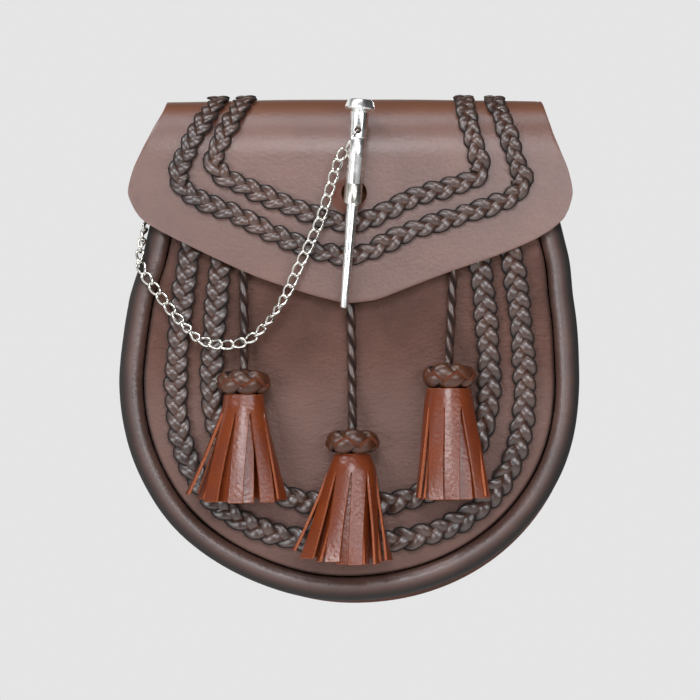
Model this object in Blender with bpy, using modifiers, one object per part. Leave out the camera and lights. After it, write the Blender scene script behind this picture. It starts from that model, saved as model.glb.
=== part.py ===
"""A leather day sporran with a targe pin: a kilt pouch that hangs from a belt by two loops.

Metres, +Z up. The back panel's outer face lies at Y = 0 and the front faces -Y. The origin is
on that outer face, midway between the belt loops, where the pouch hangs. Sizes in the tables
are millimetres, turned to metres where they are read.
"""

import math

import bmesh
import bpy
import numpy as np
from mathutils import Euler, Matrix, Vector

MM = 0.001
GAP = 0.3 * MM  # air between pieces that touch
MERGED = 0.01 * MM  # points nearer than this are one
MEASURED = 0.2 * MM  # the step over which a face's slope is measured
CURVE_STEPS = 16  # between two guide points of a smooth line
FINE_POINTS = 400  # along a line that is only measured or cut up
CUTTER_DEPTH = 20.0 * MM
TUBE_RESOLUTION = 2
SMOOTH_ANGLE = math.radians(35)

# The pouch's outline, seen from the front.
POUCH_HALF_WIDTH = 94.1 * MM
WIDEST_Z = -43.5 * MM
POUCH_BELOW = 92.0 * MM  # from the widest level down to the bottom
SIDES_MEET = 226.5 * MM  # how far above the widest level the sides would meet
MOUTH_Z = 47.5 * MM
LOWER_ROUNDNESS = 2.1
UPPER_ROUNDNESS = 1.5
OUTLINE_POINTS = 41
MOUTH_LEAN = 1.9 * MM  # how far the sides lean to the right at the mouth
LEAN_FROM_Z = -12.0 * MM
LEAN_TO_Z = 8.0 * MM

# Its walls, from back to front.
BACK_THICKNESS = 2.5 * MM
GUSSET_THICKNESS = 1.5 * MM
GUSSET_INSET = 3.0 * MM
RIM_RADIUS = 4.7 * MM
RIM_Y = -31.5 * MM
PANEL_THICKNESS = 2.0 * MM
PANEL_INSET = 9.9 * MM
PANEL_EDGE_Y = -33.5 * MM
PANEL_DOME = 3.5 * MM
MOUTH_FLATTENING = 0.5  # the share of the dome that is gone at the mouth
PANEL_GRID = (12, 10)  # columns, rows

# The flap, which starts outside the back panel, folds over the top and comes down in front.
FLAP_THICKNESS = 2.5 * MM
FOLD_RADIUS = 23.2 * MM  # of the leather's outer face
FOLD_Y = BACK_THICKNESS + GAP - FOLD_RADIUS
FOLD_Z = 48.2 * MM
FOLD_CROWN = 1.3 * MM  # how much higher the fold is in its middle
FOLD_QUARTER = FOLD_RADIUS * math.pi / 2
TAIL_Z = 30.0 * MM  # the lower edge of the flap's tail, on the back
TAIL_HALF_WIDTH = 76.0 * MM
FLAP_HALF_WIDTH = 91.0 * MM
FLAP_DROOP = 4.0 * MM  # how far the wings lean back
FLAP_GRID = (14, 18)
# height on the front, left edge, right edge
FLAP_SIDES = (
    (68.9, -76.3, 79.5),
    (59.0, -81.2, 82.8),
    (50.8, -85.3, 86.1),
    (42.6, -89.0, 89.4),
    (34.4, -91.0, 91.2),
    (30.3, -90.2, 90.8),
    (26.2, -88.2, 89.6),
)
# across, height: the lower edge between the two corners
FLAP_POINT = (
    (-84.9, 22.1),
    (-77.0, 17.2),
    (-59.0, 8.2),
    (-39.4, -0.8),
    (-20.1, -7.4),
    (-5.0, -11.5),
    (0.0, -12.1),
    (5.0, -11.7),
    (12.3, -10.4),
    (25.4, -5.3),
    (41.8, 0.9),
    (61.1, 7.6),
    (77.5, 14.8),
    (86.6, 21.4),
)
SLOT_X = 1.9 * MM
SLOT_Z = 32.8 * MM
SLOT_WIDTH = 10.4 * MM
SLOT_HEIGHT = 10.6 * MM

# Braids: half width, height and roundness of the two on the front.
FRONT_BRAIDS = {
    "front_braid_outer": (71.3, 66.4, 2.55),
    "front_braid_inner": (57.0, 51.2, 2.3),
}
FRONT_BRAID_TOP = 16.0 * MM
FRONT_BRAID_WIDTH = 10.0 * MM
FLAP_BRAID_WIDTH = 8.6 * MM
FRONT_BRAID_STEP = 1.0  # between cross sections, in widths
FLAP_BRAID_STEP = 0.8
BRAID_HEIGHT = 2.7 * MM
BRAID_GAP = 0.5 * MM  # wider than other gaps, because both faces are made of flats
BRAID_TAIL = 13.0 * MM  # how far the flap's braids run down its back from the fold's end
# height on the front, left, right
FLAP_BRAIDS = {
    "flap_braid_outer": (
        (69.5, -55.0, 59.5),
        (61.1, -60.4, 63.1),
        (51.3, -66.0, 66.4),
        (42.5, -69.6, 69.4),
        (36.2, -69.0, 70.4),
        (30.0, -61.0, 64.0),
        (24.0, -46.2, 47.0),
        (17.2, -33.2, 25.4),
        (11.5, -20.1, 13.6),
        (7.6, -7.0, 4.5),
    ),
    "flap_braid_inner": (
        (69.5, -43.9, 47.0),
        (61.1, -48.7, 48.8),
        (51.3, -53.8, 51.7),
        (45.0, -55.4, 53.3),
        (39.6, -51.0, 52.6),
        (35.6, -42.6, 43.0),
        (31.2, -33.2, 27.2),
        (27.1, -23.4, 18.8),
        (23.4, -13.5, 11.4),
        (20.9, -4.4, 4.4),
    ),
}
# across in widths, above the leather in heights
BAND_SECTION = ((-0.42, 0.0), (0.42, 0.0), (0.5, 0.45), (0.24, 1.0), (-0.24, 1.0), (-0.5, 0.45))

# The targe pin, told from its seat at the middle of the staple's sleeve.
PIN_SEAT = Vector((1.6, -49.3, 32.1)) * MM
PIN_LEAN = Euler((math.radians(-0.6), math.radians(4.56), 0))
PIN_SIDES = 12
PIN_HOLE_HEIGHT = 26.0 * MM
PIN_HOLE_RADIUS = 1.5 * MM
# height, radius
PIN_PROFILE = (
    (39.9, 0.0),
    (39.9, 4.6),
    (39.3, 5.2),
    (36.6, 6.2),
    (35.9, 6.0),
    (35.7, 3.2),
    (34.6, 3.9),
    (23.2, 3.6),
    (22.8, 3.35),
    (22.4, 3.55),
    (14.4, 3.5),
    (14.0, 3.3),
    (4.3, 3.35),
    (4.3, 3.05),
    (-4.3, 2.9),
    (-5.0, 2.45),
    (-19.5, 2.15),
    (-35.3, 1.8),
    (-46.3, 1.5),
    (-46.8, 1.0),
    (-46.8, 0.0),
)
SLEEVE_RADIUS = 3.95 * MM
SLEEVE_BORE = 3.35 * MM
SLEEVE_HEIGHT = 8.0 * MM
POST_WIDTH = 3.0 * MM
POST_HEIGHT = 6.0 * MM
POST_IN_SLEEVE = 0.2 * MM
PLATE_WIDTH = 13.0 * MM
PLATE_HEIGHT = 15.0 * MM
PLATE_THICKNESS = 1.2 * MM

# The chain: curb links, each a flat oval with a twist.
LINK_PITCH = 5.0 * MM
LINK_LENGTH = 5.85 * MM  # of the wire's centre line
LINK_WIDTH = 3.45 * MM
LINK_TWIST = 0.78 * MM
LINK_POINTS = 10
WIRE_RADIUS = 0.475 * MM
WIRE_SIDES = 5
RING_RADIUS = 5.3 * MM
RING_POINTS = 16
RING_HANG = Vector((-0.57, 0.0, -0.822))  # the way the jump ring falls from the pin's hole
RING_RISE = 0.65 * MM  # how far its wire sits above the middle of the hole
# across, height, depth, roll in degrees about the chain
CHAIN_ROUTE = (
    (-4.9, 44.6, -49.6, 40),
    (-6.4, 39.4, -49.5, 15),
    (-9.0, 30.3, -49.3, 0),
    (-12.3, 20.1, -49.3, 0),
    (-16.8, 10.3, -49.2, 0),
    (-21.1, 1.6, -48.0, 0),
    (-24.6, -6.6, -47.0, 15),
    (-28.3, -13.1, -46.2, 55),
    (-32.8, -19.3, -45.4, 70),
    (-39.8, -26.7, -44.9, 30),
    (-47.2, -29.1, -44.4, 12),
    (-54.5, -29.1, -42.4, 15),
    (-61.9, -26.9, -41.6, 50),
    (-66.8, -22.1, -40.8, 60),
    (-73.4, -14.8, -39.6, 20),
    (-78.7, -7.6, -38.9, 0),
    (-84.2, -0.4, -38.4, -15),
    (-86.2, 4.4, -37.6, -40),
    (-86.2, 9.6, -36.8, -58),
    (-85.1, 15.6, -34.9, -72),
    (-84.2, 20.8, -31.0, -88),
    (-83.1, 24.4, -26.5, -90),
    (-82.5, 27.8, -21.8, -90),
    (-82.3, 31.0, -18.0, -90),
)
CHAIN_LINKS = 39
EYE_WIRE = 0.6 * MM

# Tassels: where the thong comes out under the flap, its knot, and the skirt's lower edge.
# name, thong's top x and z, knot's x and z, skirt's middle x, z and half width
TASSELS = (
    ("left", (-43.9, -8.0), (-43.1, -44.7), (-47.3, -94.7, 20.5)),
    ("middle", (0.2, -17.0), (1.2, -68.9), (-2.6, -121.0, 21.0)),
    ("right", (42.4, -8.0), (40.6, -42.2), (41.8, -93.9, 15.2)),
)
THONG_RADIUS = 1.9 * MM
THONG_HIDDEN = 14.0 * MM  # its stretch under the flap
THONG_LEAN = 18.0 * MM  # the last stretch, where it comes forward to the knot
THONG_ENTRY = 1.3 * MM  # how far behind the knot's middle it goes in
THONG_STEP = 2.4  # between cross sections, in radii
KNOT_Y = -45.6 * MM
KNOT_HALF_WIDTH = 11.0 * MM
KNOT_HALF_HEIGHT = 5.8 * MM
KNOT_FLATNESS = 0.74
KNOT_SIDES = 12
# height in half heights, radius in half widths
KNOT_PROFILE = ((1.0, 0.0), (1.0, 0.42), (0.72, 0.82), (0.1, 1.0), (-0.6, 0.9), (-1.0, 0.62), (-1.0, 0.0))
SKIRT_HALF_WIDTH = 9.4 * MM
SKIRT_HALF_DEPTH = 6.6 * MM
SKIRT_BOTTOM_Y = -50.5 * MM
SKIRT_BOTTOM_DEPTH = 9.8 * MM
SKIRT_HEAD = 6.0 * MM  # the stretch above the slits
SKIRT_WAIST = 0.5  # the level between head and hem, as a share of the height
SKIRT_FLARE = 0.8  # the power of the level by which it widens
SKIRT_THICKNESS = 2.0 * MM
SKIRT_STRIPS = 12
SLIT_SHARE = 0.12  # of a strip's pitch

# Belt loops on the back: across and height of the raised strap.
LOOP_X = 48.0 * MM
LOOP_WIDTH = 26.0 * MM
LOOP_THICKNESS = 2.5 * MM
# height, distance of the inner face from the back panel
LOOP_PATH = ((28.0, 0.3), (18.5, 0.3), (12.5, 6.3), (-12.5, 6.3), (-18.5, 0.3), (-28.0, 0.3))

# Finishes: linear colour, metallic, roughness.
FRONT_LEATHER = ("front leather", (0.17, 0.085, 0.068), 0.0, 0.5)
RIM_LEATHER = ("rim leather", (0.085, 0.05, 0.042), 0.0, 0.4)
BRAID_LEATHER = ("braid leather", (0.075, 0.035, 0.026), 0.0, 0.35)
TASSEL_LEATHER = ("tassel leather", (0.22, 0.05, 0.022), 0.0, 0.4)
POLISHED_METAL = ("polished metal", (0.8, 0.79, 0.77), 1.0, 0.2)


# --- lines ---


def evenly(line, count):
    """That many points, evenly spaced along the line through the given ones."""
    line = np.asarray(line, float)
    run = np.linalg.norm(np.diff(line, axis=0), axis=1)
    along = np.concatenate([[0.0], np.cumsum(run)])
    wanted = np.linspace(0, along[-1], count)
    return np.column_stack([np.interp(wanted, along, column) for column in line.T])


def smooth(points, count):
    """Evenly spaced points on a Catmull-Rom curve through the given ones."""
    points = np.asarray(points, float)
    first = 2 * points[0] - points[1]
    last = 2 * points[-1] - points[-2]
    guides = np.vstack([first, points, last])
    fine = []
    for a, b, c, d in zip(guides, guides[1:], guides[2:], guides[3:]):
        for t in np.linspace(0, 1, CURVE_STEPS, endpoint=False):
            square, cube = t * t, t * t * t
            fine.append(
                b
                + 0.5 * (c - a) * t
                + 0.5 * (2 * a - 5 * b + 4 * c - d) * square
                + 0.5 * (3 * b - a - 3 * c + d) * cube
            )
    fine.append(points[-1])
    return evenly(fine, count)


def pouch_line(half_width, below, roundness, top):
    """A line shaped like the pouch, as (x, z), from its top left round the bottom to its top right."""
    start = math.asin(((top - WIDEST_Z) / SIDES_MEET) ** (UPPER_ROUNDNESS / 2))
    angles = np.linspace(math.pi - start, 2 * math.pi + start, 4 * FINE_POINTS)
    cosine, sine = np.cos(angles), np.sin(angles)
    power = np.where(sine > 0, 2 / UPPER_ROUNDNESS, 2 / roundness)
    rise = np.where(sine > 0, SIDES_MEET, below)
    x = half_width * np.sign(cosine) * np.abs(cosine) ** power
    z = WIDEST_Z + rise * np.sign(sine) * np.abs(sine) ** power
    return np.column_stack([x, z])


def leaning(z):
    """How far the outline has moved to the right at a height."""
    share = np.clip((z - LEAN_FROM_Z) / (LEAN_TO_Z - LEAN_FROM_Z), 0, 1)
    return MOUTH_LEAN * share * share * (3 - 2 * share)


def inset_line(inset, count):
    """The pouch's outline moved inwards, cut level at the mouth."""
    line = pouch_line(POUCH_HALF_WIDTH, POUCH_BELOW, LOWER_ROUNDNESS, MOUTH_Z + inset)
    run = np.gradient(line, axis=0)
    run /= np.linalg.norm(run, axis=1)[:, None]
    line = line + inset * np.column_stack([-run[:, 1], run[:, 0]])
    line[:, 0] += leaning(line[:, 1])
    return evenly(line[line[:, 1] <= MOUTH_Z], count)


def at_share(line, share):
    """The point at that share of a line's length."""
    run = np.linalg.norm(np.diff(line, axis=0), axis=1)
    along = np.concatenate([[0.0], np.cumsum(run)]) / run.sum()
    return np.array([np.interp(share, along, column) for column in line.T])


# --- the two curved faces that carry the rest ---


def panel_face(x, z):
    """A point of the front panel's outer face."""
    half = POUCH_HALF_WIDTH - PANEL_INSET
    height = z - WIDEST_Z
    aside = abs(x - leaning(z))
    fullness = 1.0
    if height > 0:
        reach = aside / (half * (1 - (height / SIDES_MEET) ** UPPER_ROUNDNESS) ** (1 / UPPER_ROUNDNESS))
        fullness -= MOUTH_FLATTENING * height / (MOUTH_Z - WIDEST_Z)
    else:
        across = (aside / half) ** LOWER_ROUNDNESS
        down = (-height / (POUCH_BELOW - PANEL_INSET)) ** LOWER_ROUNDNESS
        reach = (across + down) ** (1 / LOWER_ROUNDNESS)
    dome = PANEL_DOME * fullness * (1 - min(reach, 1.0) ** 2)
    return Vector((x, PANEL_EDGE_Y - dome, z))


def flap_face(x, along):
    """A point of the flap's outer face: `along` is 0 at the fold's top, less in front, more behind."""
    turn = max(-math.pi / 2, min(math.pi / 2, along / FOLD_RADIUS))
    hanging = max(0.0, abs(along) - FOLD_QUARTER)
    onto_front = max(0.0, min(1.0, -along / FOLD_QUARTER))
    eased = onto_front * onto_front * (3 - 2 * onto_front)
    y = FOLD_Y + FOLD_RADIUS * math.sin(turn) + FLAP_DROOP * eased * (x / FLAP_HALF_WIDTH) ** 2
    crown = FOLD_CROWN * (1 - (x / FLAP_HALF_WIDTH) ** 2)
    z = FOLD_Z + (FOLD_RADIUS + crown) * math.cos(turn) - hanging
    return Vector((x, y, z))


def on_front(height):
    """Where along the flap a height in millimetres is reached, on its front."""
    above = height * MM - FOLD_Z
    if above < 0:
        return above - FOLD_QUARTER
    return -FOLD_RADIUS * math.acos(above / FOLD_RADIUS)


def face_normal(face, a, b):
    """The outward normal of one of the two faces."""
    across = face(a + MEASURED, b) - face(a - MEASURED, b)
    along = face(a, b + MEASURED) - face(a, b - MEASURED)
    return across.cross(along).normalized()


# --- making objects ---


def fresh_collection(name):
    collection = bpy.data.collections.new(name)
    bpy.context.scene.collection.children.link(collection)
    return collection


def finish_of(described):
    name, colour, metallic, roughness = described
    material = bpy.data.materials.get(name)
    if material is None:
        material = bpy.data.materials.new(name)
        material.use_nodes = True
        shader = material.node_tree.nodes["Principled BSDF"]
        shader.inputs["Base Color"].default_value = (*colour, 1.0)
        shader.inputs["Metallic"].default_value = metallic
        shader.inputs["Roughness"].default_value = roughness
    return material


def add_object(name, data, finish, collection=None):
    piece = bpy.data.objects.new(name, data)
    data.materials.append(finish_of(finish))
    (collection or PARTS).objects.link(piece)
    return piece


def add_mesh(name, shape, finish, collection=None, rounded=False):
    """An object from a bmesh, which is freed."""
    mesh = bpy.data.meshes.new(name)
    shape.to_mesh(mesh)
    shape.free()
    if rounded:
        mesh.shade_smooth()
        mesh.set_sharp_from_angle(angle=SMOOTH_ANGLE)
    return add_object(name, mesh, finish, collection)


def add_wire(name, points, radius, finish):
    """A round tube with closed ends along a line of points."""
    curve = bpy.data.curves.new(name, "CURVE")
    curve.dimensions = "3D"
    curve.bevel_depth = radius
    curve.bevel_resolution = TUBE_RESOLUTION
    curve.use_fill_caps = True
    spline = curve.splines.new("POLY")
    spline.points.add(len(points) - 1)
    for target, point in zip(spline.points, points):
        target.co = (*point, 1.0)
    return add_object(name, curve, finish)


def thicken(piece, thickness):
    """A wall behind the piece's face."""
    wall = piece.modifiers.new("Wall", "SOLIDIFY")
    wall.thickness = thickness
    wall.offset = -1
    wall.use_even_offset = True


def boolean(piece, other, operation):
    step = piece.modifiers.new(operation.title(), "BOOLEAN")
    step.operation = operation
    step.solver = "EXACT"
    step.object = other


def hidden(helper):
    helper.hide_render = True
    helper.display_type = "WIRE"
    return helper


def sheet(name, face, sides, grid, thickness, finish):
    """A wall laid on a curved face between four edges: its top, bottom, left and right."""
    top, bottom, left, right = sides
    shape = bmesh.new()
    bmesh.ops.create_grid(shape, x_segments=grid[0], y_segments=grid[1], size=1)
    for vertex in shape.verts:
        u, t = (vertex.co.x + 1) / 2, (1 - vertex.co.y) / 2
        across = (1 - t) * at_share(top, u) + t * at_share(bottom, u)
        down = (1 - u) * at_share(left, t) + u * at_share(right, t)
        upper = (1 - u) * top[0] + u * top[-1]
        lower = (1 - u) * bottom[0] + u * bottom[-1]
        vertex.co = face(*(across + down - (1 - t) * upper - t * lower))
    piece = add_mesh(name, shape, finish, rounded=True)
    thicken(piece, thickness)
    return piece


def loft(shape, rings, closed=False):
    """Faces between rings of points, with the ends capped unless the rings close on themselves."""
    made = [[shape.verts.new(point) for point in ring] for ring in rings]
    pairs = list(zip(made, made[1:] + made[:1])) if closed else list(zip(made, made[1:]))
    faces = []
    for near, far in pairs:
        for i in range(len(near)):
            j = (i + 1) % len(near)
            faces.append(shape.faces.new((near[i], near[j], far[j], far[i])))
    if not closed:
        faces.append(shape.faces.new(made[0]))
        faces.append(shape.faces.new(made[-1]))
    bmesh.ops.recalc_face_normals(shape, faces=faces)


def turned(name, profile, finish, steps):
    """A solid turned about Z from a profile of (height, radius) that starts and ends on the axis."""
    shape = bmesh.new()
    line = [shape.verts.new((radius, 0, height)) for height, radius in profile]
    for above, below in zip(line, line[1:]):
        shape.edges.new((above, below))
    piece = add_mesh(name, shape, finish)
    screw = piece.modifiers.new("Turn", "SCREW")
    screw.steps = steps
    screw.render_steps = steps
    screw.use_merge_vertices = True
    screw.merge_threshold = MERGED
    return piece


# --- the pouch ---


def add_back_panel():
    curve = bpy.data.curves.new("back_panel", "CURVE")
    curve.dimensions = "2D"
    curve.fill_mode = "BOTH"
    curve.extrude = BACK_THICKNESS / 2
    spline = curve.splines.new("POLY")
    outline = inset_line(0, OUTLINE_POINTS)
    spline.points.add(len(outline) - 1)
    for target, (x, z) in zip(spline.points, outline):
        target.co = (x, z, 0, 1)
    spline.use_cyclic_u = True
    panel = add_object("back_panel", curve, FRONT_LEATHER)
    panel.rotation_euler = (math.pi / 2, 0, 0)
    panel.location = (0, -BACK_THICKNESS / 2, 0)


def add_gusset():
    """A band from the back panel to the rolled rim, open at the mouth."""
    behind_rim = math.sqrt(RIM_RADIUS**2 - (RIM_RADIUS - GUSSET_INSET - GUSSET_THICKNESS / 2) ** 2)
    back_y = -BACK_THICKNESS - GAP
    front_y = RIM_Y + behind_rim + GAP
    shape = bmesh.new()
    line = [shape.verts.new((x, back_y, z)) for x, z in inset_line(GUSSET_INSET, OUTLINE_POINTS)]
    edges = [shape.edges.new(pair) for pair in zip(line, line[1:])]
    grown = bmesh.ops.extrude_edge_only(shape, edges=edges)
    front = [item for item in grown["geom"] if isinstance(item, bmesh.types.BMVert)]
    bmesh.ops.translate(shape, verts=front, vec=(0, front_y - back_y, 0))
    shape.normal_update()
    lowest = min(shape.faces, key=lambda face: face.calc_center_median().z)
    if lowest.normal.z > 0:
        bmesh.ops.reverse_faces(shape, faces=shape.faces)
    thicken(add_mesh("gusset", shape, FRONT_LEATHER, rounded=True), GUSSET_THICKNESS)


def add_rolled_rim():
    route = [(x, RIM_Y, z) for x, z in inset_line(RIM_RADIUS, OUTLINE_POINTS)]
    add_wire("rolled_rim", route, RIM_RADIUS, RIM_LEATHER)


def add_front_panel():
    """Domed leather inside the rim. Its lower corners are where the outline runs at 45 degrees."""
    outline = inset_line(PANEL_INSET, FINE_POINTS)
    run = np.gradient(outline, axis=0)
    steepness = run[:, 0] - np.abs(run[:, 1])
    level = np.flatnonzero(steepness > 0)
    left, right = level[0], level[-1]
    top = np.array([outline[0], outline[-1]])
    sides = (top, outline[left : right + 1], outline[: left + 1], outline[right:][::-1])
    sheet("front_panel", panel_face, sides, PANEL_GRID, PANEL_THICKNESS, FRONT_LEATHER)


def braid(name, route, face, width, finish):
    """A braid's outer form: a low crowned band laid along a route on one of the two faces."""
    rings = []
    for (a, b), (da, db) in zip(route, np.gradient(route, axis=0)):
        normal = face_normal(face, a, b)
        share = MEASURED / math.hypot(da, db)
        ahead = face(a + da * share, b + db * share) - face(a - da * share, b - db * share)
        across = normal.cross(ahead).normalized()
        base = face(a, b) + normal * BRAID_GAP
        rings.append([base + across * (c * width) + normal * (h * BRAID_HEIGHT) for c, h in BAND_SECTION])
    shape = bmesh.new()
    loft(shape, rings)
    add_mesh(name, shape, finish, rounded=True)


def add_front_braids():
    for name, (half_width, below, roundness) in FRONT_BRAIDS.items():
        line = pouch_line(half_width * MM, below * MM, roundness, FRONT_BRAID_TOP)
        length = np.linalg.norm(np.diff(line, axis=0), axis=1).sum()
        route = evenly(line, round(length / (FRONT_BRAID_STEP * FRONT_BRAID_WIDTH)))
        braid(name, route, panel_face, FRONT_BRAID_WIDTH, BRAID_LEATHER)


def add_flap_braids():
    for name, rows in FLAP_BRAIDS.items():
        _, first_left, first_right = rows[0]
        behind = FOLD_QUARTER + BRAID_TAIL
        left = [(first_left * MM, behind), (first_left * MM, FOLD_QUARTER / 2)]
        left += [(x * MM, on_front(height)) for height, x, _ in rows]
        right = [(x * MM, on_front(height)) for height, _, x in reversed(rows)]
        right += [(first_right * MM, FOLD_QUARTER / 2), (first_right * MM, behind)]
        line = smooth(left + right, FINE_POINTS)
        length = np.linalg.norm(np.diff(line, axis=0), axis=1).sum()
        route = evenly(line, round(length / (FLAP_BRAID_STEP * FLAP_BRAID_WIDTH)))
        braid(name, route, flap_face, FLAP_BRAID_WIDTH, BRAID_LEATHER)


def add_flap():
    """The flap's leather, with the slot that the staple stands in."""
    tail = FOLD_QUARTER + FOLD_Z - TAIL_Z
    edges = []
    for column, side in ((1, -1), (2, 1)):
        points = [(side * TAIL_HALF_WIDTH, tail), (side * TAIL_HALF_WIDTH, FOLD_QUARTER)]
        points.append((side * TAIL_HALF_WIDTH, FOLD_QUARTER / 2))
        points += [(row[column] * MM, on_front(row[0])) for row in FLAP_SIDES]
        edges.append(smooth(points, FINE_POINTS))
    left, right = edges
    middle = [(x * MM, on_front(height)) for x, height in FLAP_POINT]
    bottom = smooth([left[-1], *middle, right[-1]], FINE_POINTS)
    top = np.array([left[0], right[0]])
    flap = sheet("flap", flap_face, (top, bottom, left, right), FLAP_GRID, FLAP_THICKNESS, FRONT_LEATHER)
    shape = bmesh.new()
    bmesh.ops.create_cone(shape, cap_ends=True, segments=12, radius1=0.5, radius2=0.5, depth=1)
    cutter = hidden(add_mesh("slot_cutter", shape, FRONT_LEATHER, CUTTERS))
    cutter.rotation_euler = (math.pi / 2, 0, 0)
    cutter.scale = (SLOT_WIDTH, SLOT_HEIGHT, CUTTER_DEPTH)
    cutter.location = (SLOT_X, FOLD_Y - FOLD_RADIUS, SLOT_Z)
    boolean(flap, cutter, "DIFFERENCE")


# --- pin, staple and chain ---


def pin_matrix():
    return Matrix.Translation(PIN_SEAT) @ PIN_LEAN.to_matrix().to_4x4()


def cylinder(name, radius, depth, matrix, sides, finish, collection):
    shape = bmesh.new()
    bmesh.ops.create_cone(shape, cap_ends=True, segments=sides, radius1=radius, radius2=radius, depth=depth)
    piece = add_mesh(name, shape, finish, collection)
    piece.matrix_world = matrix
    return piece


def box(name, low, high, finish, collection):
    shape = bmesh.new()
    bmesh.ops.create_cube(shape, size=1)
    low, high = Vector(low), Vector(high)
    for vertex in shape.verts:
        vertex.co = [(a + b) / 2 + (b - a) * c for a, b, c in zip(low, high, vertex.co)]
    return add_mesh(name, shape, finish, collection)


def add_targe_pin():
    profile = [(height * MM, radius * MM) for height, radius in PIN_PROFILE]
    pin = turned("targe_pin", profile, POLISHED_METAL, PIN_SIDES)
    pin.matrix_world = pin_matrix()
    hole = pin_matrix() @ Matrix.Translation((0, 0, PIN_HOLE_HEIGHT)) @ Matrix.Rotation(math.pi / 2, 4, "X")
    cutter = cylinder(
        "pin_hole_cutter", PIN_HOLE_RADIUS, CUTTER_DEPTH, hole, PIN_SIDES, POLISHED_METAL, CUTTERS
    )
    boolean(pin, hidden(cutter), "DIFFERENCE")


def add_staple():
    """A sleeve round the pin, a post through the flap's slot and a plate on the front panel."""
    staple = cylinder(
        "staple", SLEEVE_RADIUS, SLEEVE_HEIGHT, pin_matrix(), PIN_SIDES, POLISHED_METAL, PARTS
    )
    x, y, z = PIN_SEAT
    plate_back = panel_face(x, z).y - GAP
    plate_front = plate_back - PLATE_THICKNESS
    post = box(
        "staple_post",
        (x - POST_WIDTH / 2, y + (SLEEVE_RADIUS + SLEEVE_BORE) / 2 - POST_IN_SLEEVE, z - POST_HEIGHT / 2),
        (x + POST_WIDTH / 2, plate_front + PLATE_THICKNESS / 2, z + POST_HEIGHT / 2),
        POLISHED_METAL,
        CUTTERS,
    )
    plate = box(
        "staple_plate",
        (x - PLATE_WIDTH / 2, plate_front, z - PLATE_HEIGHT / 2),
        (x + PLATE_WIDTH / 2, plate_back, z + PLATE_HEIGHT / 2),
        POLISHED_METAL,
        CUTTERS,
    )
    bore = cylinder(
        "sleeve_bore_cutter", SLEEVE_BORE, CUTTER_DEPTH, pin_matrix(), PIN_SIDES, POLISHED_METAL, CUTTERS
    )
    boolean(staple, hidden(post), "UNION")
    boolean(staple, hidden(plate), "UNION")
    boolean(staple, hidden(bore), "DIFFERENCE")


def closed_wire(shape, centre_line):
    """A closed loop of round wire."""
    count = len(centre_line)
    middle = sum(centre_line, Vector()) / count
    rings = []
    for i, point in enumerate(centre_line):
        ahead = (centre_line[(i + 1) % count] - centre_line[i - 1]).normalized()
        out = point - middle
        out = (out - ahead * out.dot(ahead)).normalized()
        side = ahead.cross(out)
        ring = []
        for k in range(WIRE_SIDES):
            turn = 2 * math.pi * (k + 0.5) / WIRE_SIDES
            ring.append(point + (out * math.cos(turn) + side * math.sin(turn)) * WIRE_RADIUS)
        rings.append(ring)
    loft(shape, rings, closed=True)


def curb_link(shape, start, end, roll):
    """One link between two joints of the chain. With no roll its flat faces the front."""
    ahead = (end - start).normalized()
    front = Vector((0, -1, 0))
    front = (front - ahead * front.dot(ahead)).normalized()
    face = Matrix.Rotation(math.radians(roll), 3, ahead) @ front
    across = face.cross(ahead)
    middle = (start + end) / 2
    centre_line = []
    for k in range(LINK_POINTS):
        turn = 2 * math.pi * k / LINK_POINTS
        centre_line.append(
            middle
            + ahead * (LINK_LENGTH / 2 * math.cos(turn))
            + across * (LINK_WIDTH / 2 * math.sin(turn))
            + face * (LINK_TWIST * math.sin(2 * turn))
        )
    closed_wire(shape, centre_line)


def ring_line():
    """The jump ring's centre line: it lies along the pin's hole at its top and hangs down to the left."""
    hole = pin_matrix() @ Vector((0, 0, PIN_HOLE_HEIGHT))
    along_hole = pin_matrix().to_3x3() @ Vector((0, 1, 0))
    top = hole - RING_HANG * RING_RISE
    middle = top + RING_HANG * RING_RADIUS
    line = []
    for k in range(RING_POINTS):
        turn = 2 * math.pi * k / RING_POINTS
        line.append(middle + (along_hole * math.sin(turn) - RING_HANG * math.cos(turn)) * RING_RADIUS)
    return line


def chain_joints():
    """The points where links meet, one pitch apart, with the roll at each."""
    bottom = ring_line()[RING_POINTS // 2]
    rows = np.array(CHAIN_ROUTE, float)
    rows[:, :3] *= MM
    route = np.column_stack([rows[:, 0], rows[:, 2], rows[:, 1], rows[:, 3]])
    first = Vector(route[0, :3])
    overlap = (LINK_LENGTH - LINK_PITCH) / 2
    start = bottom - (first - bottom).normalized() * overlap
    fine = smooth(np.vstack([[*start, 0], route]) / (MM, MM, MM, 90), 10 * FINE_POINTS) * (MM, MM, MM, 90)
    joints = [fine[0]]
    for point in fine:
        if np.linalg.norm(point[:3] - joints[-1][:3]) >= LINK_PITCH:
            joints.append(point)
    return joints[: CHAIN_LINKS + 1]


def add_chain():
    """Links in two sets, odd and even, so that each set is clear of itself before they are joined."""
    joints = chain_joints()
    sets = [bmesh.new(), bmesh.new()]
    for i, (a, b) in enumerate(zip(joints, joints[1:])):
        curb_link(sets[i % 2], Vector(a[:3]), Vector(b[:3]), (a[3] + b[3]) / 2)
    closed_wire(sets[1], ring_line())
    chain = add_mesh("chain", sets[0], POLISHED_METAL, rounded=True)
    others = add_mesh("chain_other_links", sets[1], POLISHED_METAL, CUTTERS)
    boolean(chain, hidden(others), "UNION")


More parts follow.
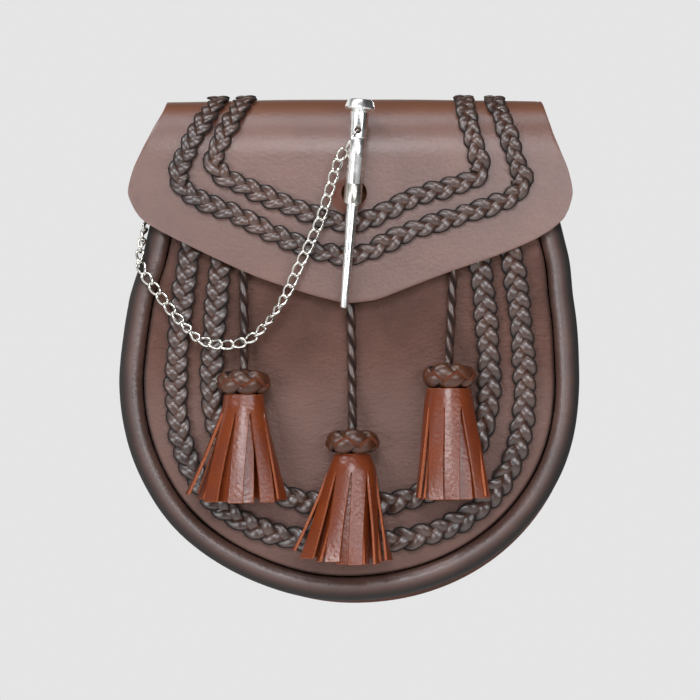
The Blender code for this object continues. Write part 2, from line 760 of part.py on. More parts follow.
def add_chain_eye():
    """A hoop of wire on the gusset, under the flap. One leg goes through the chain's last link."""
    joints = chain_joints()
    end, before = Vector(joints[-1][:3]), Vector(joints[-2][:3])
    ahead = (end - before).normalized()
    last_bar = end + ahead * (LINK_LENGTH - LINK_PITCH) / 2
    clear = WIRE_RADIUS + EYE_WIRE + 1.5 * GAP
    through, beyond = last_bar - ahead * clear, last_bar + ahead * clear
    out_x = last_bar.x - LINK_TWIST - clear
    gusset = inset_line(GUSSET_INSET, FINE_POINTS)
    left = gusset[: len(gusset) // 4]
    points = []
    for leg in (through, beyond):
        wall_x = np.interp(-leg.z, -left[:, 1], left[:, 0]) - GAP
        points += [Vector((wall_x, leg.y, leg.z)), Vector((out_x, leg.y, leg.z))]
    points[2:] = reversed(points[2:])
    add_wire("chain_eye", points, EYE_WIRE, POLISHED_METAL)


# --- tassels ---


def add_thong(name, top, knot_x, knot_top):
    """Flat against the panel under the flap, then forward to the middle of its knot."""
    x, z = top[0] * MM, top[1] * MM
    against = THONG_RADIUS + 1.5 * GAP
    route = []
    for height in (z + THONG_HIDDEN, z + THONG_HIDDEN / 2, z, knot_top + THONG_LEAN):
        share = (z + THONG_HIDDEN - height) / (z + THONG_HIDDEN - knot_top)
        across = x + (knot_x - x) * share
        route.append((across, panel_face(across, height).y - against, height))
    entry_y = KNOT_Y + THONG_ENTRY
    route.append((knot_x, entry_y, knot_top + THONG_RADIUS))
    length = z + THONG_HIDDEN - knot_top
    line = smooth(route, round(length / (THONG_STEP * THONG_RADIUS)))
    line = np.vstack([line, (knot_x, entry_y, knot_top + GAP)])
    add_wire(name, line, THONG_RADIUS, BRAID_LEATHER)


def add_knot(name, x, z):
    profile = [(h * KNOT_HALF_HEIGHT, r * KNOT_HALF_WIDTH) for h, r in KNOT_PROFILE]
    knot = turned(name, profile, BRAID_LEATHER, KNOT_SIDES)
    knot.location = (x, KNOT_Y, z)
    knot.scale = (1, KNOT_FLATNESS, 1)


def add_skirt(name, knot_x, top_z, hem):
    """Leather slit into strips below a plain head, rolled round and flaring to its hem."""
    hem_x, hem_z, hem_half_width = (value * MM for value in hem)
    levels = [0, SKIRT_HEAD / (top_z - hem_z), SKIRT_WAIST, 1.0]
    shape = bmesh.new()
    columns = 2 * SKIRT_STRIPS
    bmesh.ops.create_grid(shape, x_segments=columns, y_segments=len(levels) - 1, size=1)
    slits = []
    for face in shape.faces:
        column = round((face.calc_center_median().x + 1) / 2 * columns - 0.5)
        if column % 2 and face.calc_center_median().y < 1 - 2 / (len(levels) - 1):
            slits.append(face)
    bmesh.ops.delete(shape, geom=slits, context="FACES")
    for vertex in shape.verts:
        column = round((vertex.co.x + 1) / 2 * columns)
        level = levels[round((1 - vertex.co.y) / 2 * (len(levels) - 1))]
        turn = 2 * math.pi * (column // 2 + (1 - SLIT_SHARE) * (column % 2)) / SKIRT_STRIPS
        flare = level**SKIRT_FLARE
        half_width = SKIRT_HALF_WIDTH + (hem_half_width - SKIRT_HALF_WIDTH) * flare
        half_depth = SKIRT_HALF_DEPTH + (SKIRT_BOTTOM_DEPTH - SKIRT_HALF_DEPTH) * flare
        vertex.co = (
            knot_x + (hem_x - knot_x) * flare + half_width * math.sin(turn),
            KNOT_Y + (SKIRT_BOTTOM_Y - KNOT_Y) * flare - half_depth * math.cos(turn),
            top_z + (hem_z - top_z) * level,
        )
    bmesh.ops.remove_doubles(shape, verts=shape.verts, dist=MERGED)
    bmesh.ops.recalc_face_normals(shape, faces=shape.faces)
    front = min(shape.faces, key=lambda face: face.calc_center_median().y)
    if front.normal.y > 0:
        bmesh.ops.reverse_faces(shape, faces=shape.faces)
    thicken(add_mesh(name, shape, TASSEL_LEATHER), SKIRT_THICKNESS)


def add_tassels():
    for side, top, (knot_x, knot_z), hem in TASSELS:
        knot_x, knot_z = knot_x * MM, knot_z * MM
        add_thong("tassel_cord_" + side, top, knot_x, knot_z + KNOT_HALF_HEIGHT)
        add_knot("tassel_knot_" + side, knot_x, knot_z)
        add_skirt("tassel_skirt_" + side, knot_x, knot_z - KNOT_HALF_HEIGHT - GAP, hem)


# --- belt loops ---


def add_belt_loop(name, middle_x):
    """A strap with both ends flat on the back panel and its middle standing off for a belt."""
    shape = bmesh.new()
    left = middle_x - LOOP_WIDTH / 2
    line = [shape.verts.new((left, off * MM, height * MM)) for height, off in LOOP_PATH]
    edges = [shape.edges.new(pair) for pair in zip(line, line[1:])]
    grown = bmesh.ops.extrude_edge_only(shape, edges=edges)
    other = [item for item in grown["geom"] if isinstance(item, bmesh.types.BMVert)]
    bmesh.ops.translate(shape, verts=other, vec=(LOOP_WIDTH, 0, 0))
    shape.normal_update()
    if max(shape.faces, key=lambda face: face.calc_center_median().y).normal.y > 0:
        bmesh.ops.reverse_faces(shape, faces=shape.faces)
    thicken(add_mesh(name, shape, FRONT_LEATHER), LOOP_THICKNESS)


def main():
    add_back_panel()
    add_gusset()
    add_rolled_rim()
    add_front_panel()
    add_flap()
    add_front_braids()
    add_flap_braids()
    add_targe_pin()
    add_staple()
    add_chain()
    add_chain_eye()
    add_tassels()
    add_belt_loop("belt_loop_left", -LOOP_X)
    add_belt_loop("belt_loop_right", LOOP_X)


for leftover in list(bpy.data.objects):
    bpy.data.objects.remove(leftover, do_unlink=True)
PARTS = fresh_collection("Sporran pouch")
CUTTERS = fresh_collection("Cutters")
main()
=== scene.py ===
# %% [markdown]
# # A leather day sporran
# A sporran is the pouch worn in front of a kilt. This one is a D-shaped leather pouch with a
# thick rolled rim. A flap folds over its top and is held by a targe pin on a chain. Plaits are
# laced to the flap and the front, and three tassels of slit leather hang under the flap.
#
# The CAD model gives every piece its place and size. It is loaded first and stays as it is.
# Each piece but the chain's small eye is then made again with the detail that leather and metal
# have. Lengths are in metres, and MM turns the tables' millimetres into metres.

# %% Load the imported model
import math
import random

import bpy
import numpy as np
from mathutils import Euler, Matrix, Vector, noise


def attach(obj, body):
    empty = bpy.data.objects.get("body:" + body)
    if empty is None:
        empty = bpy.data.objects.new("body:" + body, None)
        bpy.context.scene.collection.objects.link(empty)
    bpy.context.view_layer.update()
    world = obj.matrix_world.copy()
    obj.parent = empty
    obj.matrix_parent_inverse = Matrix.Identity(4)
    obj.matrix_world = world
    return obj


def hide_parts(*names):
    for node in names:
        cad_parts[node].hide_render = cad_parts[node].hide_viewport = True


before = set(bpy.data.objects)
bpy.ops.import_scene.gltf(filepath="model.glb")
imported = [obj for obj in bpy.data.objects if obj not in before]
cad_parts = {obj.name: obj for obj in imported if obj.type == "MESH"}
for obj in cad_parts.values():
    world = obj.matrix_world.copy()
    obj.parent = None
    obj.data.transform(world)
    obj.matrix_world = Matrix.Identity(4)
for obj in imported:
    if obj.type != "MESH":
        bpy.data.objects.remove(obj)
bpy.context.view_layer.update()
MM = 0.001
GAP = 0.3 * MM  # the air that the CAD model leaves between pieces
print("loaded", len(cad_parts), "nodes")

# %% [markdown]
# ## The camera
# The picture was taken from far away with a long lens, almost straight from the front: only a
# thin line of the back shows, at the lower right. So the camera stands a little to the right and
# a little low. Its lens follows from the width that the picture covers where the leather lies.

# %% Camera
PICTURE_WIDTH = 287 * MM
CAMERA_DISTANCE = 2.2
CAMERA_AIM = Vector((0, -36, -31.2)) * MM
CAMERA_ANGLES = 1.6, -1.5  # degrees round from straight in front, and up
SENSOR_WIDTH = 36.0  # millimetres on the sensor, as Blender counts a lens


def seen_from(azimuth, elevation):
    """The direction from the pouch to somebody who stands that far round and up, in degrees."""
    turn, rise = math.radians(azimuth), math.radians(elevation)
    level = math.cos(rise)
    return Vector((math.sin(turn) * level, -math.cos(turn) * level, math.sin(rise)))


towards_camera = seen_from(*CAMERA_ANGLES)
bpy.ops.object.camera_add(location=CAMERA_AIM + towards_camera * CAMERA_DISTANCE)
camera = bpy.context.object
camera.rotation_euler = (-towards_camera).to_track_quat("-Z", "Y").to_euler()
camera.data.sensor_width = SENSOR_WIDTH
camera.data.lens = SENSOR_WIDTH * CAMERA_DISTANCE / PICTURE_WIDTH
camera.data.clip_end = 20
bpy.context.scene.camera = camera
bpy.context.scene.view_settings.view_transform = "Standard"
print("lens", round(camera.data.lens), "mm")

# %% [markdown]
# ## Lines that the whole pouch follows
# The rim, the front, the back and the front plaits all repeat one outline: a deep bowl below the
# widest level and nearly straight sides above it. One formula gives them all, and an inset moves
# the line inwards. The sizes are those of the CAD model. Sewn hide is never quite even, so the
# edge gets slow bulges of a millimetre or two.

# %% Points along a line
FINE_POINTS = 400
STEPS_BETWEEN = 16  # on a soft curve, from one given point to the next


def at_shares(line, shares):
    """The points that lie at shares of the way along a line."""
    line = np.asarray(line, float)
    along = np.cumsum([0.0, *np.linalg.norm(np.diff(line, axis=0), axis=1)])
    return np.column_stack([np.interp(shares * along[-1], along, column) for column in line.T])


def evenly(line, count):
    return at_shares(line, np.linspace(0, 1, count))


def between_rows(rows, share):
    """A row between the given ones, at a share of the way from the first to the last."""
    numbers = np.linspace(0, 1, len(rows))
    return [np.interp(share, numbers, column) for column in rows.T]


def smooth(points, count):
    """Evenly spaced points on a soft curve through the given ones."""
    points = np.asarray(points, float)
    guides = np.vstack([2 * points[0] - points[1], points, 2 * points[-1] - points[-2]])
    fine = []
    for a, b, c, d in zip(guides, guides[1:], guides[2:], guides[3:]):
        for t in np.linspace(0, 1, STEPS_BETWEEN, endpoint=False):
            bend = (2 * a - 5 * b + 4 * c - d) * t * t + (3 * b - a - 3 * c + d) * t**3
            fine.append(b + 0.5 * ((c - a) * t + bend))
    return evenly([*fine, points[-1]], count)


def length_of(line):
    return np.linalg.norm(np.diff(line, axis=0), axis=1).sum()


def directions(line):
    """The way that a line runs at each of its points, one long."""
    run = np.gradient(line, axis=0)
    return run / np.linalg.norm(run, axis=1)[:, None]


def to_front(run):
    """The way to the front, made square to a direction."""
    front = Vector((0, -1, 0))
    return (front - run * front.dot(run)).normalized()


def eased(share):
    """A share from 0 to 1 that starts and ends softly."""
    share = np.clip(share, 0, 1)
    return share * share * (3 - 2 * share)


# %% The outline
POUCH_HALF_WIDTH = 94.1 * MM
WIDEST_Z = -43.5 * MM
POUCH_BELOW = 92.0 * MM
SIDES_MEET = 226.5 * MM
MOUTH_Z = 47.5 * MM
LOWER_ROUNDNESS = 2.1
UPPER_ROUNDNESS = 1.5
MOUTH_LEAN = 1.9 * MM  # the sides lean to the right at the mouth
LEAN_FROM_Z, LEAN_TO_Z = -12.0 * MM, 8.0 * MM
# direction from the middle of the widest level, share further out, and reach to both sides
BACK_BULGES = ((-119, -0.017, 30), (180, 0.010, 38), (20, 0.012, 20))
FRONT_BULGES = BACK_BULGES + ((-72, -0.020, 60),)  # the front has slipped in at the lower right


def pouch_line(half_width, below, roundness, top):
    """A line shaped like the pouch, as (x, z), from top left round the bottom to top right."""
    start = math.asin(((top - WIDEST_Z) / SIDES_MEET) ** (UPPER_ROUNDNESS / 2))
    angles = np.linspace(math.pi - start, 2 * math.pi + start, 4 * FINE_POINTS)
    cosine, sine = np.cos(angles), np.sin(angles)
    power = np.where(sine > 0, 2 / UPPER_ROUNDNESS, 2 / roundness)
    rise = np.where(sine > 0, SIDES_MEET, below)
    x = half_width * np.sign(cosine) * np.abs(cosine) ** power
    return np.column_stack([x, WIDEST_Z + rise * np.sign(sine) * np.abs(sine) ** power])


def leaning(z):
    """How far the outline has moved to the right at a height."""
    return MOUTH_LEAN * eased((z - LEAN_FROM_Z) / (LEAN_TO_Z - LEAN_FROM_Z))


def bulge(x, z, bulges):
    """How many times further out the hide lies there than the even line."""
    direction = np.degrees(np.arctan2(z - WIDEST_Z, x))
    grown = 1.0
    for middle, share, reach in bulges:
        off = np.abs((direction - middle + 180) % 360 - 180)
        grown = grown + share * np.cos(np.clip(off / reach, 0, 1) * np.pi / 2) ** 2
    return grown


def inset_line(inset, bulges=BACK_BULGES):
    """The pouch's outline moved inwards, cut level at the mouth."""
    line = pouch_line(POUCH_HALF_WIDTH, POUCH_BELOW, LOWER_ROUNDNESS, MOUTH_Z + inset)
    line = (line - (0, WIDEST_Z)) * bulge(*line.T, bulges)[:, None] + (0, WIDEST_Z)
    run_x, run_z = directions(line).T
    line = line + inset * np.column_stack([-run_z, run_x])
    line[:, 0] += leaning(line[:, 1])
    return evenly(line[line[:, 1] <= MOUTH_Z], FINE_POINTS)


# %% [markdown]
# ## The two curved faces
# Everything in front lies on one of two faces: the domed front panel, or the flap, which comes up
# from the back, turns over a fold and hangs down. A leather worker cuts and plaits on a flat bench
# and then bends the work, and so does this file. These two functions take a place on the
# flat leather and give the same place on the finished pouch.

# %% The domed front
PANEL_INSET = 10.2 * MM
PANEL_EDGE_Y = -33.5 * MM
PANEL_DOME = 3.5 * MM
MOUTH_FLATTENING = 0.5


def panel_reach(x, z):
    """From 0 in the middle of the front panel to 1 at its edge."""
    aside = x - leaning(z)
    grown = bulge(aside, z, FRONT_BULGES)
    aside, height = abs(aside) / grown, (z - WIDEST_Z) / grown
    half = POUCH_HALF_WIDTH - PANEL_INSET
    if height > 0:
        narrowing = 1 - (height / SIDES_MEET) ** UPPER_ROUNDNESS
        return aside / (half * narrowing ** (1 / UPPER_ROUNDNESS))
    across = (aside / half) ** LOWER_ROUNDNESS
    down = (-height / (POUCH_BELOW - PANEL_INSET)) ** LOWER_ROUNDNESS
    return (across + down) ** (1 / LOWER_ROUNDNESS)


def panel_face(x, z):
    """A point of the front panel's outer face."""
    flattening = MOUTH_FLATTENING * max(0.0, z - WIDEST_Z) / (MOUTH_Z - WIDEST_Z)
    dome = PANEL_DOME * (1 - flattening) * (1 - min(panel_reach(x, z), 1.0) ** 2)
    return Vector((x, PANEL_EDGE_Y - dome, z))


# %% The folded flap
BACK_THICKNESS = 2.5 * MM
FOLD_RADIUS = 23.2 * MM
FOLD_Y = BACK_THICKNESS + GAP - FOLD_RADIUS
FOLD_Z = 48.2 * MM
FOLD_CROWN = 1.3 * MM  # the fold is that much higher in its middle
FOLD_QUARTER = FOLD_RADIUS * math.pi / 2
FLAP_HALF_WIDTH = 91.0 * MM
FLAP_DROOP = 4.0 * MM


def flap_face(x, along):
    """A point of the flap's outer face. Along is 0 at the top, less in front and more behind."""
    turn = max(-math.pi / 2, min(math.pi / 2, along / FOLD_RADIUS))
    hanging = max(0.0, abs(along) - FOLD_QUARTER)
    out = (x / FLAP_HALF_WIDTH) ** 2
    y = FOLD_Y + FOLD_RADIUS * math.sin(turn) + FLAP_DROOP * eased(-along / FOLD_QUARTER) * out
    radius = FOLD_RADIUS + FOLD_CROWN * (1 - out)
    return Vector((x, y, FOLD_Z + radius * math.cos(turn) - hanging))


def on_front(height):
    """Where along the flap a height in millimetres is reached, on its front."""
    above = height * MM - FOLD_Z
    return above - FOLD_QUARTER if above < 0 else -FOLD_RADIUS * math.acos(above / FOLD_RADIUS)


# %% Off the face
MEASURED = 0.2 * MM  # half the distance over which a face's slope is measured


def above_face(face, a, b, height):
    """The point that lies a height above a face, square to it."""
    across = face(a + MEASURED, b) - face(a - MEASURED, b)
    along = face(a, b + MEASURED) - face(a, b - MEASURED)
    return face(a, b) + across.cross(along).normalized() * height


# %% [markdown]
# ## Small helpers
# The CAD pieces are selected after loading, and an operator acts on all that is selected. So
# one helper selects a single piece. Others apply its modifiers, bend it while it is flat, copy it,
# join it to others, and sign it off with its name, its shading and the CAD node it stands for.

# %% Select, apply, bend
def mode(name):
    bpy.ops.object.mode_set(mode=name)


def only(piece):
    """Selects one piece and nothing else."""
    if bpy.context.object and bpy.context.object.mode != "OBJECT":
        mode("OBJECT")
    bpy.ops.object.select_all(action="DESELECT")
    piece.select_set(True)
    bpy.context.view_layer.objects.active = piece
    return piece


def modify(piece, kind, **settings):
    """Adds a modifier and applies it at once."""
    only(piece)
    modifier = piece.modifiers.new(kind.title(), kind)
    for name, value in settings.items():
        setattr(modifier, name, value)
    bpy.ops.object.modifier_apply(modifier=modifier.name)


def bevel(piece, width, degrees, segments=2, material=-1):
    """Rounds the edges that turn by more than that."""
    limit = math.radians(degrees)
    settings = {"segments": segments, "limit_method": "ANGLE", "angle_limit": limit}
    modify(piece, "BEVEL", width=width, material=material, **settings)


def cut_out(piece, tool):
    """Cuts a tool's shape out of a piece, as a punch or a drill does."""
    modify(piece, "BOOLEAN", operation="DIFFERENCE", object=tool, solver="EXACT")
    bpy.data.objects.remove(tool)


def applied(piece):
    only(piece)
    bpy.ops.object.transform_apply(location=True, rotation=True, scale=True)
    return piece


def bend(piece, place):
    """Moves each point of a flat piece to where place says."""
    for vertex in piece.data.vertices:
        vertex.co = place(*vertex.co)
    piece.data.update()


# %% Edit, copy, join, finish
OUTWARD = ("normals_make_consistent", {"inside": False})


def edit(piece, *steps):
    """Runs mesh operators on all of a piece, each given as its name and its settings."""
    only(piece)
    mode("EDIT")
    bpy.ops.mesh.select_all(action="SELECT")
    for operator, settings in steps:
        getattr(bpy.ops.mesh, operator)(**settings)
    mode("OBJECT")


def pick_edges(piece, wanted):
    """Selects the edges whose two ends are wanted, and leaves the piece in edit mode."""
    only(piece)
    mode("EDIT")
    bpy.ops.mesh.select_mode(type="EDGE")
    bpy.ops.mesh.select_all(action="DESELECT")
    mode("OBJECT")
    for edge in piece.data.edges:
        edge.select = wanted(*(piece.data.vertices[number].co for number in edge.vertices))
    mode("EDIT")


def copies(piece, places):
    """Copies of a piece at places of (middle, ahead, out), instead of the piece itself."""
    made = []
    for middle, ahead, out in places:
        ahead, out = Vector(ahead), Vector(out)
        axes = Matrix((ahead, out.cross(ahead), out)).transposed().to_4x4()
        copy = piece.copy()
        copy.data = piece.data.copy()
        copy.data.transform(Matrix.Translation(middle) @ axes)
        bpy.context.scene.collection.objects.link(copy)
        made.append(copy)
    bpy.data.objects.remove(piece)
    return made


def joined(pieces):
    """Several pieces as one."""
    only(pieces[0])
    for piece in pieces:
        piece.select_set(True)
    bpy.ops.object.join()
    return bpy.context.object


def give_finishes(piece, finishes, number=0):
    """Gives a piece its finishes, and one of them to all its faces."""
    for finish in finishes:
        piece.data.materials.append(finish.material)
    for face in piece.data.polygons:
        face.material_index = number


def done(piece, name, finishes, nodes=(), smooth_angle=40):
    """Signs a finished piece off."""
    piece.name = piece.data.name = name
    applied(piece)
    bpy.ops.object.shade_smooth_by_angle(angle=math.radians(smooth_angle))
    numbers = [face.material_index for face in piece.data.polygons]
    piece.data.materials.clear()  # this also sets every face's number to 0
    give_finishes(piece, finishes)
    for face, number in zip(piece.data.polygons, numbers):
        face.material_index = min(number, len(finishes) - 1)
    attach(piece, "root")
    if nodes:
        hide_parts(*nodes)
    print(name, len(piece.data.polygons), "faces")
    return piece


# %% [markdown]
# ## Leather
# Dyed cowhide has three layers of detail. A fine pebble grain, about a millimetre across, breaks
# up its shine. Slow patches make it lighter and darker. Tiny pores darken it. One recipe builds
# all of that from noise, and every leather in the pouch is that recipe with its own colours and
# shine. Patterns read Object coordinates, so they have the same scale on each piece.

# %% Node helpers
class Nodes:
    """The node tree of a material or a world, with short ways to add to it."""

    def __init__(self, owner):
        owner.use_nodes = True
        self.tree = owner.node_tree

    def set(self, node, values):
        """Sets inputs to constants, colours or other nodes' outputs."""
        for socket, value in values.items():
            if isinstance(value, bpy.types.NodeSocket):
                self.tree.links.new(value, node.inputs[socket])
            elif node.inputs[socket].type == "RGBA":
                node.inputs[socket].default_value = (*value, 1.0)
            else:
                node.inputs[socket].default_value = value

    def add(self, kind, values=(), output=0, **settings):
        """Adds a node and gives back one of its outputs."""
        node = self.tree.nodes.new("ShaderNode" + kind)
        for name, value in settings.items():
            setattr(node, name, value)
        self.set(node, dict(values))
        return node.outputs[output]

    def noise(self, place, scale, detail=2.0, roughness=0.5, distortion=0.0):
        values = {"Vector": place, "Scale": scale, "Detail": detail, "Roughness": roughness}
        return self.add("TexNoise", {**values, "Distortion": distortion})

    def stretched(self, place, scale):
        return self.add("Mapping", {"Vector": place, "Scale": scale})

    def axis(self, vector, name):
        return self.add("SeparateXYZ", {"Vector": vector}, name)

    def mark(self, name, output="Fac"):
        """Reads an attribute that was left on the mesh."""
        return self.add("Attribute", output=output, attribute_name=name)

    def ramp(self, factor, low, high, start=0.0, end=1.0):
        """A colour that goes from low to high as the factor goes from start to end."""
        colour = self.add("ValToRGB", {"Fac": factor})
        for stop, place, tone in zip(colour.node.color_ramp.elements, (start, end), (low, high)):
            stop.position, stop.color = place, (*tone, 1.0)
        return colour

    def between(self, value, start, end, low, high):
        """A number that goes softly from low to high as the value goes from start to end."""
        names = ("Value", "From Min", "From Max", "To Min", "To Max")
        values = dict(zip(names, (value, start, end, low, high)))
        return self.add("MapRange", values, interpolation_type="SMOOTHSTEP")

    def mix(self, factor, first, second, blend="MIX"):
        values = {0: factor, 6: first, 7: second}
        return self.add("Mix", values, 2, data_type="RGBA", blend_type=blend)

    def math(self, operation, *values, **settings):
        return self.add("Math", dict(enumerate(values)), operation=operation, **settings)


class Finish(Nodes):
    """A material. Each bump lies on top of those before it."""

    def __init__(self, name):
        self.material = bpy.data.materials.new(name)
        super().__init__(self.material)
        self.place = self.add("TexCoord", output="Object")
        self.normal = {}

    def shade(self, values):
        self.set(self.tree.nodes["Principled BSDF"], values)

    def bump(self, height, strength, distance, **settings):
        values = {"Height": height, "Strength": strength, "Distance": distance, **self.normal}
        self.normal = {"Normal": self.add("Bump", values, **settings)}
        self.shade(self.normal)


# %% The leather recipe
PEBBLES = 700  # a metre
PORES = 2400
PATCHES = 38
WRINKLES = (230, 230, 560)


def leather(name, dark, light, roughness, grain=0.35, coat=0.15, creases=0.0, gloss=0.9):
    finish = Finish(name)
    values = {"Vector": finish.place, "Scale": PEBBLES, "Smoothness": 0.7}
    pebbles = finish.add("TexVoronoi", values, feature="SMOOTH_F1")
    pores = finish.noise(finish.place, PORES, 3.0, 0.6)
    patches = finish.noise(finish.place, PATCHES, 5.0, 0.65)
    wrinkles = finish.noise(finish.stretched(finish.place, WRINKLES), 1.0, 4.0, 0.6, 0.6)
    dyed = finish.ramp(patches, dark, light, 0.3, 0.72)
    speckle = finish.ramp(pores, (0.66,) * 3, (1.1,) * 3, 0.32, 0.62)
    finish.colour = finish.mix(0.6, dyed, speckle, "MULTIPLY")
    shine = finish.between(patches, 0.3, 0.7, roughness + 0.06, roughness - 0.05)
    finish.shade({"Base Color": finish.colour, "Roughness": shine, "Specular IOR Level": gloss})
    finish.shade({"Coat Weight": coat, "Coat Roughness": 0.4})
    finish.bump(pores, grain * 0.5, 0.00012)
    finish.bump(wrinkles, creases, 0.001)
    finish.bump(pebbles, grain, 0.0003, invert=True)
    return finish


# %% The front and back leather
# painted sheen: the front's colour goes lighter and paler towards its bottom
SHEEN_PAINTED_FROM, SHEEN_PAINTED_BELOW = -0.028, -0.062
PAINTED_SHEEN = (0.2, 0.115, 0.095)
# painted shade: the front goes nearly black where it is drawn down into the seam
PAINTED_SEAM_SHADE = (0.008, 0.004, 0.003)

front_leather = leather(
    "front_leather", (0.085, 0.034, 0.022), (0.145, 0.06, 0.04), 0.45, 0.45, 0.0, 0.45, gloss=0.25
)
height = front_leather.axis(front_leather.place, "Z")
# painted sheen, mixed in more towards the bottom of the front
painted_sheen_share = front_leather.between(height, SHEEN_PAINTED_BELOW, SHEEN_PAINTED_FROM, 0.62, 0.0)
colour = front_leather.mix(painted_sheen_share, front_leather.colour, PAINTED_SHEEN)
# painted shade at the seam
colour = front_leather.mix(front_leather.mark("seam_shade_share"), colour, PAINTED_SEAM_SHADE)
front_leather.shade({"Base Color": colour})
back_leather = leather(
    "back_leather", (0.1, 0.04, 0.028), (0.15, 0.062, 0.044), 0.52, coat=0.0, gloss=0.4
)

# %% [markdown]
# ## The flap's leather
# The flap is the same hide, but where it turns over the fold it is stretched and worn, and its
# colour shows warmer and deeper. That band is partly the stretched hide and partly painted shade
# on the top of the fold, which catches no shine. It follows the height of the fold, so it reads
# the Z coordinate.
# It is also worn round the slot, within a few millimetres of a place beside the pin.

# %% Flap leather
FOLD_BAND_START = 0.063
FOLD_BAND_FULL = 0.068
STRETCHED_AND_SHADED = (0.19, 0.065, 0.028)
WORN_PLACE = (-0.0004, -0.0437, 0.0315)  # beside the slot, where the pin rubs
WORN = (0.16, 0.04, 0.012)

flap_leather = leather(
    "flap_leather", (0.125, 0.047, 0.03), (0.182, 0.074, 0.048), 0.42, 0.25, 0.45, 0.1, gloss=0.8
)
height = flap_leather.axis(flap_leather.place, "Z")
# the fold band: partly the stretched hide's colour, partly painted shade on the fold's top
on_fold = flap_leather.between(height, FOLD_BAND_START, FOLD_BAND_FULL, 0.0, 0.85)
colour = flap_leather.mix(on_fold, flap_leather.colour, STRETCHED_AND_SHADED)
values = {0: flap_leather.place, 1: WORN_PLACE}
from_slot = flap_leather.add("VectorMath", values, "Value", operation="DISTANCE")
worn = flap_leather.between(from_slot, 5.5 * MM, 9.0 * MM, 0.85, 0.0)
dull = flap_leather.between(worn, 0.0, 0.85, 0.42, 0.95)
flap_leather.shade({"Base Color": flap_leather.mix(worn, colour, WORN), "Roughness": dull})

# %% [markdown]
# ## Raw edges
# Where leather is cut, the dye has not gone in. The edge shows the tan fibre of the hide, with
# streaks along the cut. The flap, the thongs, the tassels and the staple's plate each have
# their own tan.

# %% Cut edges
FIBRES = 1400


def cut_edge(name, dark, light):
    finish = Finish(name)
    fibres = finish.noise(finish.place, FIBRES, 4.0, 0.7)
    finish.shade({"Base Color": finish.ramp(fibres, dark, light, 0.35, 0.65), "Roughness": 0.7})
    finish.bump(fibres, 0.4, 0.0002)
    return finish


flap_edge = cut_edge("flap_edge", (0.1, 0.042, 0.02), (0.2, 0.085, 0.038))
thong_edge = cut_edge("thong_edge", (0.05, 0.018, 0.008), (0.16, 0.05, 0.018))
tassel_edge = cut_edge("tassel_edge", (0.22, 0.045, 0.01), (0.4, 0.1, 0.03))
plate_finish = cut_edge("plate_finish", (0.1, 0.03, 0.01), (0.25, 0.085, 0.025))

# %% [markdown]
# ## The thongs' leather
# The plaits are of narrow thongs, dyed nearly black-brown and polished by the lacing, so they
# catch the light in short, sharp glints. Three marks are left on each thong while it is still
# flat: the place across it, the place up or down in the plait, and the place along. With
# them the sides show raw leather near the plait's middle and painted shade towards its outside,
# the low parts get painted shade, and fine streaks run lengthwise.

# %% Thong, knot and tassel leather
STREAKS = (4.5, 0, 160)
# painted shade on the thongs' sides, in the gaps between lobes
PAINTED_GROOVE_SHADE = (0.01, 0.005, 0.003)
# painted shade where a thong lies low in the plait
PAINTED_HOLLOW_SHADE = (0.025, 0.014, 0.011)
DULL = 0.95


def thong_finish(name, dark, light, raw, coat, gloss, roughness=0.34):
    finish = leather(name, dark, light, roughness, grain=0.2, gloss=gloss)
    marks = finish.mark("thong_marks", "Vector")
    across, lift = finish.axis(marks, "X"), finish.axis(marks, "Y")
    streaks = finish.noise(finish.stretched(marks, STREAKS), 1.0, 3.0)
    streaked = finish.ramp(streaks, (0.5,) * 3, (1.25,) * 3, 0.35, 0.65)
    colour = finish.mix(0.8, finish.colour, streaked, "MULTIPLY")
    seen = finish.between(finish.mark("thong_groove"), 0.5, 0.9, 0.0, 1.0)
    side = finish.between(finish.math("ABSOLUTE", across), 0.62, 0.9, 0.0, 1.0)
    # the sides: raw leather near the plait's middle, painted shade towards its outside
    colour = finish.mix(side, colour, finish.mix(seen, PAINTED_GROOVE_SHADE, raw))
    # painted shade: the lower a part lies in the plait, the darker it is
    hollow_shade = finish.ramp(lift, PAINTED_HOLLOW_SHADE, (1, 1, 1), 0.4, 0.88)
    dull = finish.ramp(lift, (DULL,) * 3, (roughness,) * 3, 0.3, 0.75)
    dull = finish.mix(side, dull, (DULL,) * 3)
    polish = finish.between(lift, 0.4, 0.85, 0.0, coat)
    polish = finish.math("SUBTRACT", polish, side, use_clamp=True)
    finish.shade({"Base Color": finish.mix(1.0, colour, hollow_shade, "MULTIPLY"), "Roughness": dull})
    finish.shade({"Coat Weight": polish, "Coat Roughness": 0.28})
    finish.bump(streaks, 0.5, 0.0003)
    return finish


thong_leather = thong_finish(
    "thong_leather", (0.037, 0.016, 0.01), (0.11, 0.047, 0.029), (0.12, 0.03, 0.01), 0.9, 0.55
)
knot_leather = thong_finish(
    "knot_leather", (0.06, 0.018, 0.007), (0.12, 0.038, 0.014), (0.12, 0.028, 0.009), 0.5, 0.4
)
tassel_leather = leather(
    "tassel_leather", (0.13, 0.021, 0.005), (0.21, 0.043, 0.011), 0.28, 0.2, 0.0, gloss=0.62
)

# %% [markdown]
# ## Plaits
# A three-strand plait is three copies of one path. Seen from above, each strand swings from side
# to side. Seen from the edge, it rises and falls twice in the same time, so that it goes over
# one neighbour and under the next. The thong is a flat strip, so the path is a curve with a flat
# rounded section as its bevel object. The curve is then made a mesh, still flat on the bench.

